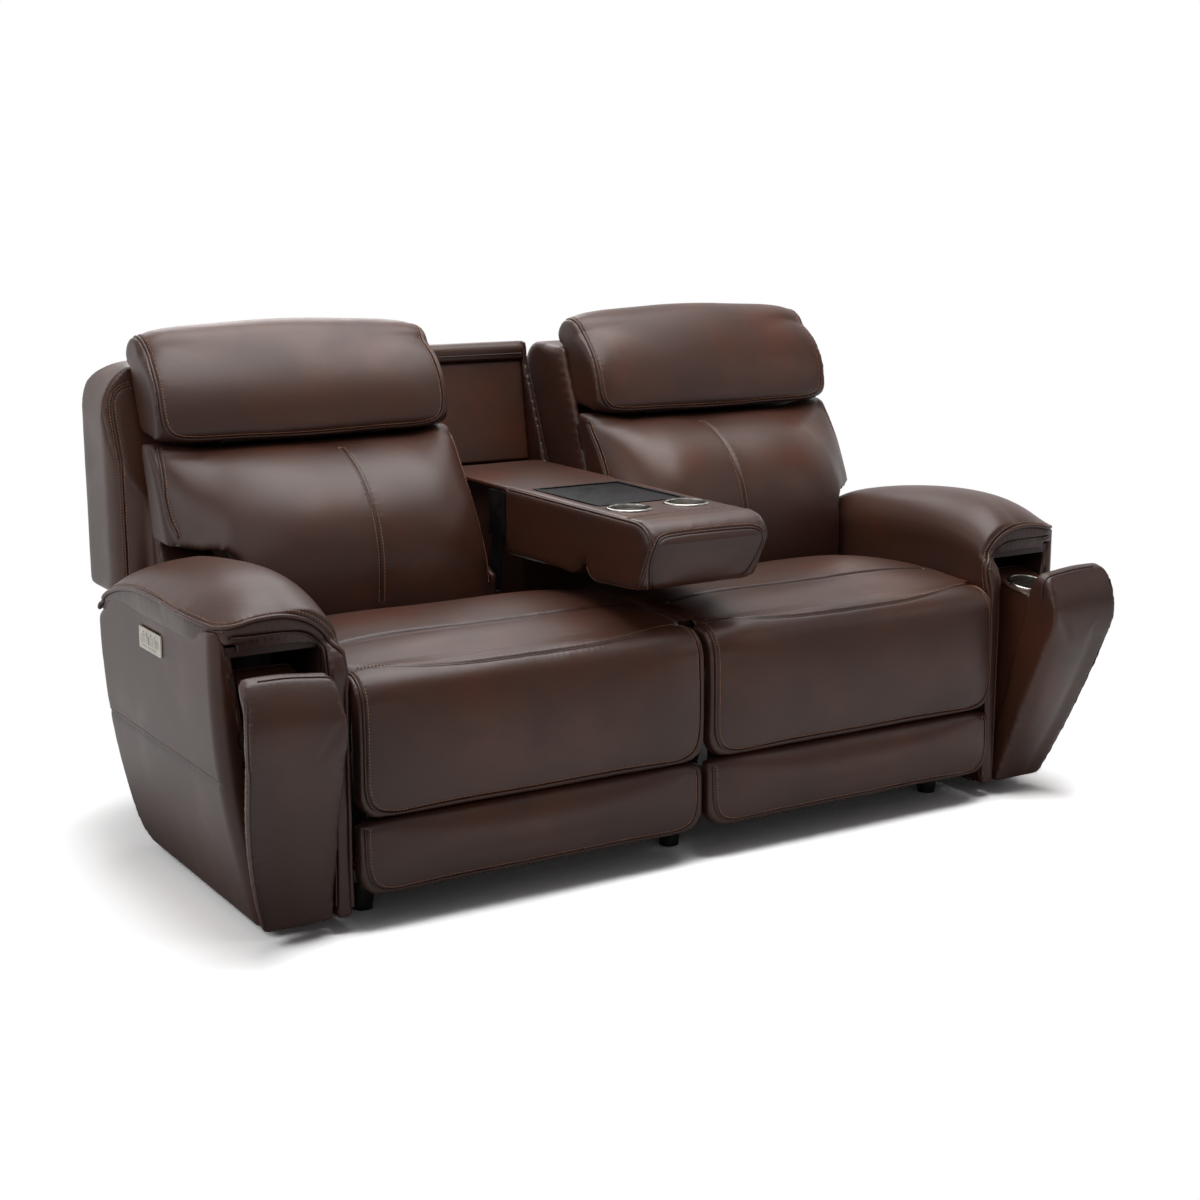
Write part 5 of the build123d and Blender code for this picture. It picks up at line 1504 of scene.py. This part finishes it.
@dataclass
class Controls:
    """Marks on the control plates."""

    place: Point = (0.989999, 0.386, 0.500)
    slope: tuple[float, float] = (1.0, 0.005326)
    proud: float = 0.0027
    thick: float = 0.0003
    half: float = 0.0022

    def point(self, along: float, up: float, out: float) -> Point:
        """Point on the right plate: along to the back, up the slope and out from it."""
        size = math.hypot(*self.slope)
        nx, nz = self.slope[0] / size, self.slope[1] / size
        return (self.place[0] + nx * out - nz * up, self.place[1] + along, self.place[2] + nz * out + nx * up)

    def outlines(self) -> list[list[tuple[float, float]]]:
        """Marks over the two rockers: a bar and arrows, and the line under them."""
        marks = []
        for middle in (0.024, -0.017):
            for side in (-1, 1):
                at = middle + side * 0.010
                low, high = at - self.half, at + self.half
                marks.append([(low, 0.0112), (high, 0.0112), (at, 0.0112 + 0.0036)])
                marks.append([(low, 0.0100), (high, 0.0100), (high, 0.0106), (low, 0.0106)])
        marks.append([(-0.036, -0.0132), (0.043, -0.0132), (0.043, -0.0126), (-0.036, -0.0126)])
        return marks

    def build(self, loom: Loom) -> None:
        """Make both plates' marks."""
        for side in Side:
            form = bmesh.new()
            for mark in self.outlines():
                rings = []
                for out in (self.proud - self.thick, self.proud):
                    ring = loom.row_frame(np.array([self.point(a, b, out) for a, b in mark]))
                    rings.append([form.verts.new(p) for p in side.flip(ring)])
                low, high = rings
                form.faces.new(high)
                form.faces.new(list(reversed(low)))
                for i in range(len(low)):
                    j = (i + 1) % len(low)
                    form.faces.new((low[i], low[j], high[j], high[i]))
            bmesh.ops.recalc_face_normals(form, faces=form.faces)
            mesh = bpy.data.meshes.new(f"plate_marks_{side.tag}")
            form.to_mesh(mesh)
            form.free()
            obj = link(mesh.name, mesh)
            mesh.materials.append(loom.shop.ink)
            Sewing.ride(obj, "base", "plate")


class Mechanism:
    """Steel, boards, motors and fittings that keep their CAD shape."""

    @staticmethod
    def finishes(shop: Workshop) -> dict[str, Material]:
        """Finish of each kept node, by the start of its name."""
        return {
            "base_frame": shop.coat, "feet": shop.plastic, "power_supply": shop.plastic,
            "arm_frame": shop.lining, "control_plate": shop.plate, "recline_rocker": shop.rocker,
            "headrest_rocker": shop.rocker, "bin_cup": shop.steel, "seat_frame": shop.coat,
            "seat_springs": shop.wire, "recline_motor": shop.plastic, "motor_block": shop.plastic,
            "torque_tube": shop.coat, "drag_links": shop.coat, "footrest_frame": shop.lining,
            "back_frame": shop.lining, "headrest_bracket": shop.coat, "table_frame": shop.plastic,
            "table_tray": shop.tray, "table_cups": shop.steel,
        }

    def dress(self, frame: dict[str, Any], shop: Workshop) -> None:
        """Give each kept node its finish."""
        finishes = self.finishes(shop)
        for name, node in frame["nodes"].items():
            material = finishes.get(name.removesuffix("_left").removesuffix("_right"))
            if material is None:
                continue
            if not node.material_slots:
                node.data.materials.append(material)
            for slot in node.material_slots:
                slot.material = material


@dataclass
class Studio:
    """Pale floor, soft light and the camera of the photograph.

    Each lamp has its name, place, target, size, power in watts, and True where it lights the floor.
    """

    eye: Point = (-2.1454, -3.0595, 1.3250)
    yaw: float = 31.73
    pitch: float = 11.92
    lens: float = 59.0
    ambient: float = 0.075
    room: float = 0.25
    foot: Point = (0.92, 0.50, 1.0)
    clear: tuple[float, float] = (0.02, 0.32)
    reach: float = 30.0
    bounce: float = 0.6
    shown: float = 2.9
    glossed: float = 0.75
    lamps: tuple = (
        ("top_light", (0.25, -0.1, 3.2), (0.0, 0.0, 0.5), 2.5, 100.0, True),
        ("side_light", (-3.1, -0.7, 2.2), (0.0, 0.0, 0.5), 1.4, 20.0, True),
        ("key_light", (-1.9, -3.0, 2.6), (0.0, 0.0, 0.6), 1.9, 15.0, False),
        ("fill_light", (3.0, -2.4, 2.2), (0.2, 0.0, 0.6), 1.8, 9.0, False),
        ("rear_light", (0.6, 3.0, 2.8), (0.0, 0.2, 0.6), 2.0, 34.0, False),
    )

    def build(self, loom: Loom) -> None:
        """Make the floor, the world, the lamps and the camera."""
        floor = self.floor()
        self.world()
        for *settings, on_floor in self.lamps:
            lamp = self.lamp(*settings)
            if not on_floor:
                self.spare(lamp, floor)
        self.camera(loom)

    def floor(self) -> Object:
        """White floor that keeps the object's shadow and clears to pure white further off."""
        mesh = bpy.data.meshes.new("floor")
        r = self.reach
        mesh.from_pydata([(-r, -r, 0), (r, -r, 0), (r, r, 0), (-r, r, 0)], [], [(0, 1, 2, 3)])
        obj = link("floor", mesh)
        material = bpy.data.materials.new("white_floor")
        graph = empty_graph(material)
        paint = graph.add("ShaderNodeBsdfDiffuse", {"Color": grey(self.bounce)})
        gloss = graph.math("SUBTRACT", 1.0, graph.add("ShaderNodeLightPath").outputs["Is Camera Ray"])
        tint = graph.blend(gloss, grey(self.shown), grey(self.glossed))
        shown = graph.add("ShaderNodeBsdfDiffuse", {"Color": tint})
        white = graph.add("ShaderNodeEmission", {"Color": grey(1.0), "Strength": 1.0})
        out = graph.add("ShaderNodeVectorMath", {0: graph.place()}, operation="ABSOLUTE")
        out = graph.add("ShaderNodeVectorMath", {0: out.outputs[0], 1: self.foot}, operation="SUBTRACT")
        out = graph.add("ShaderNodeVectorMath", {0: out.outputs[0], 1: (0.0, 0.0, 0.0)}, operation="MAXIMUM")
        away = graph.add("ShaderNodeVectorMath", {0: out.outputs[0]}, operation="LENGTH")
        far = graph.band(away.outputs["Value"], *self.clear)
        backdrop = graph.add("ShaderNodeMixShader", {0: far, 1: shown.outputs[0], 2: white.outputs[0]})
        choice = graph.add(
            "ShaderNodeMixShader", {0: self.seen(graph), 1: paint.outputs[0], 2: backdrop.outputs[0]}
        )
        graph.add("ShaderNodeOutputMaterial", {0: choice.outputs[0]})
        mesh.materials.append(material)
        return obj

    @staticmethod
    def spare(lamp: Object, floor: Object) -> None:
        """Keep a side lamp off the floor, so that one shadow lies there."""
        skips = bpy.data.collections.new(f"{lamp.name}_skips")
        skips.objects.link(floor)
        lamp.light_linking.receiver_collection = skips
        for entry in skips.collection_objects:
            entry.light_linking.link_state = "EXCLUDE"

    @staticmethod
    def seen(graph: Graph) -> NodeSocket:
        """1 for rays from the camera, from a gloss or through glass."""
        path = graph.add("ShaderNodeLightPath").outputs
        both = graph.math("MAXIMUM", path["Is Camera Ray"], path["Is Glossy Ray"])
        return graph.math("MAXIMUM", both, path["Is Transmission Ray"])

    def world(self) -> None:
        """White backdrop and a darker room in front, with less light on the object than they show."""
        world = bpy.data.worlds.new("studio")
        bpy.context.scene.world = world
        graph = empty_graph(world)
        light = graph.add("ShaderNodeBackground", {"Color": grey(1.0), "Strength": self.ambient})
        way = graph.add("ShaderNodeSeparateXYZ", {0: graph.add("ShaderNodeTexCoord").outputs["Generated"]})
        room = graph.band(way.outputs[1], -0.25, 0.35, self.room, 1.0)
        strength = graph.math("MAXIMUM", room, graph.add("ShaderNodeLightPath").outputs["Is Camera Ray"])
        white = graph.add("ShaderNodeBackground", {"Color": grey(1.0), "Strength": strength})
        choice = graph.add(
            "ShaderNodeMixShader", {0: self.seen(graph), 1: light.outputs[0], 2: white.outputs[0]}
        )
        graph.add("ShaderNodeOutputWorld", {0: choice.outputs[0]})

    @staticmethod
    def lamp(name: str, place: Point, target: Point, size: float, power: float) -> Object:
        """Soft square lamp aimed at a point."""
        data = bpy.data.lights.new(name, "AREA")
        data.shape = "SQUARE"
        data.size = size
        data.energy = power
        obj = link(name, data)
        obj.location = place
        obj.rotation_euler = (Vector(target) - Vector(place)).to_track_quat("-Z", "Y").to_euler()
        return obj

    def camera(self, loom: Loom) -> None:
        """Camera at the photograph's place, with its lens."""
        data = bpy.data.cameras.new("camera")
        data.lens = self.lens
        data.sensor_width = 36.0
        obj = link("camera", data)
        obj.location = loom.row_frame(np.array(self.eye))
        obj.rotation_euler = (math.radians(90 - self.pitch), 0.0, -math.radians(self.yaw))
        bpy.context.scene.camera = obj


def main() -> None:
    """Build every piece in order."""
    logging.basicConfig(level=logging.INFO, format="%(name)s: %(message)s")
    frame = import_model()
    scene = bpy.context.scene
    scene.view_settings.view_transform = "Standard"
    scene.frame_start, scene.frame_end = 1, CLOTH_FRAMES
    shop = Workshop()
    sewing = Sewing(shop)
    loom = Loom(frame, shop, sewing)
    Mechanism().dress(frame, shop)
    for part in (Seat(), Footrest(), Back(), Headrest(), Arm(), Bin(), Table(), Console()):
        for cover in part.covers():
            cover.build(loom)
    FrontPanel().build(loom)
    sewing.make()
    Controls().build(loom)
    Studio().build(loom)


if __name__ == "__main__":
    main()
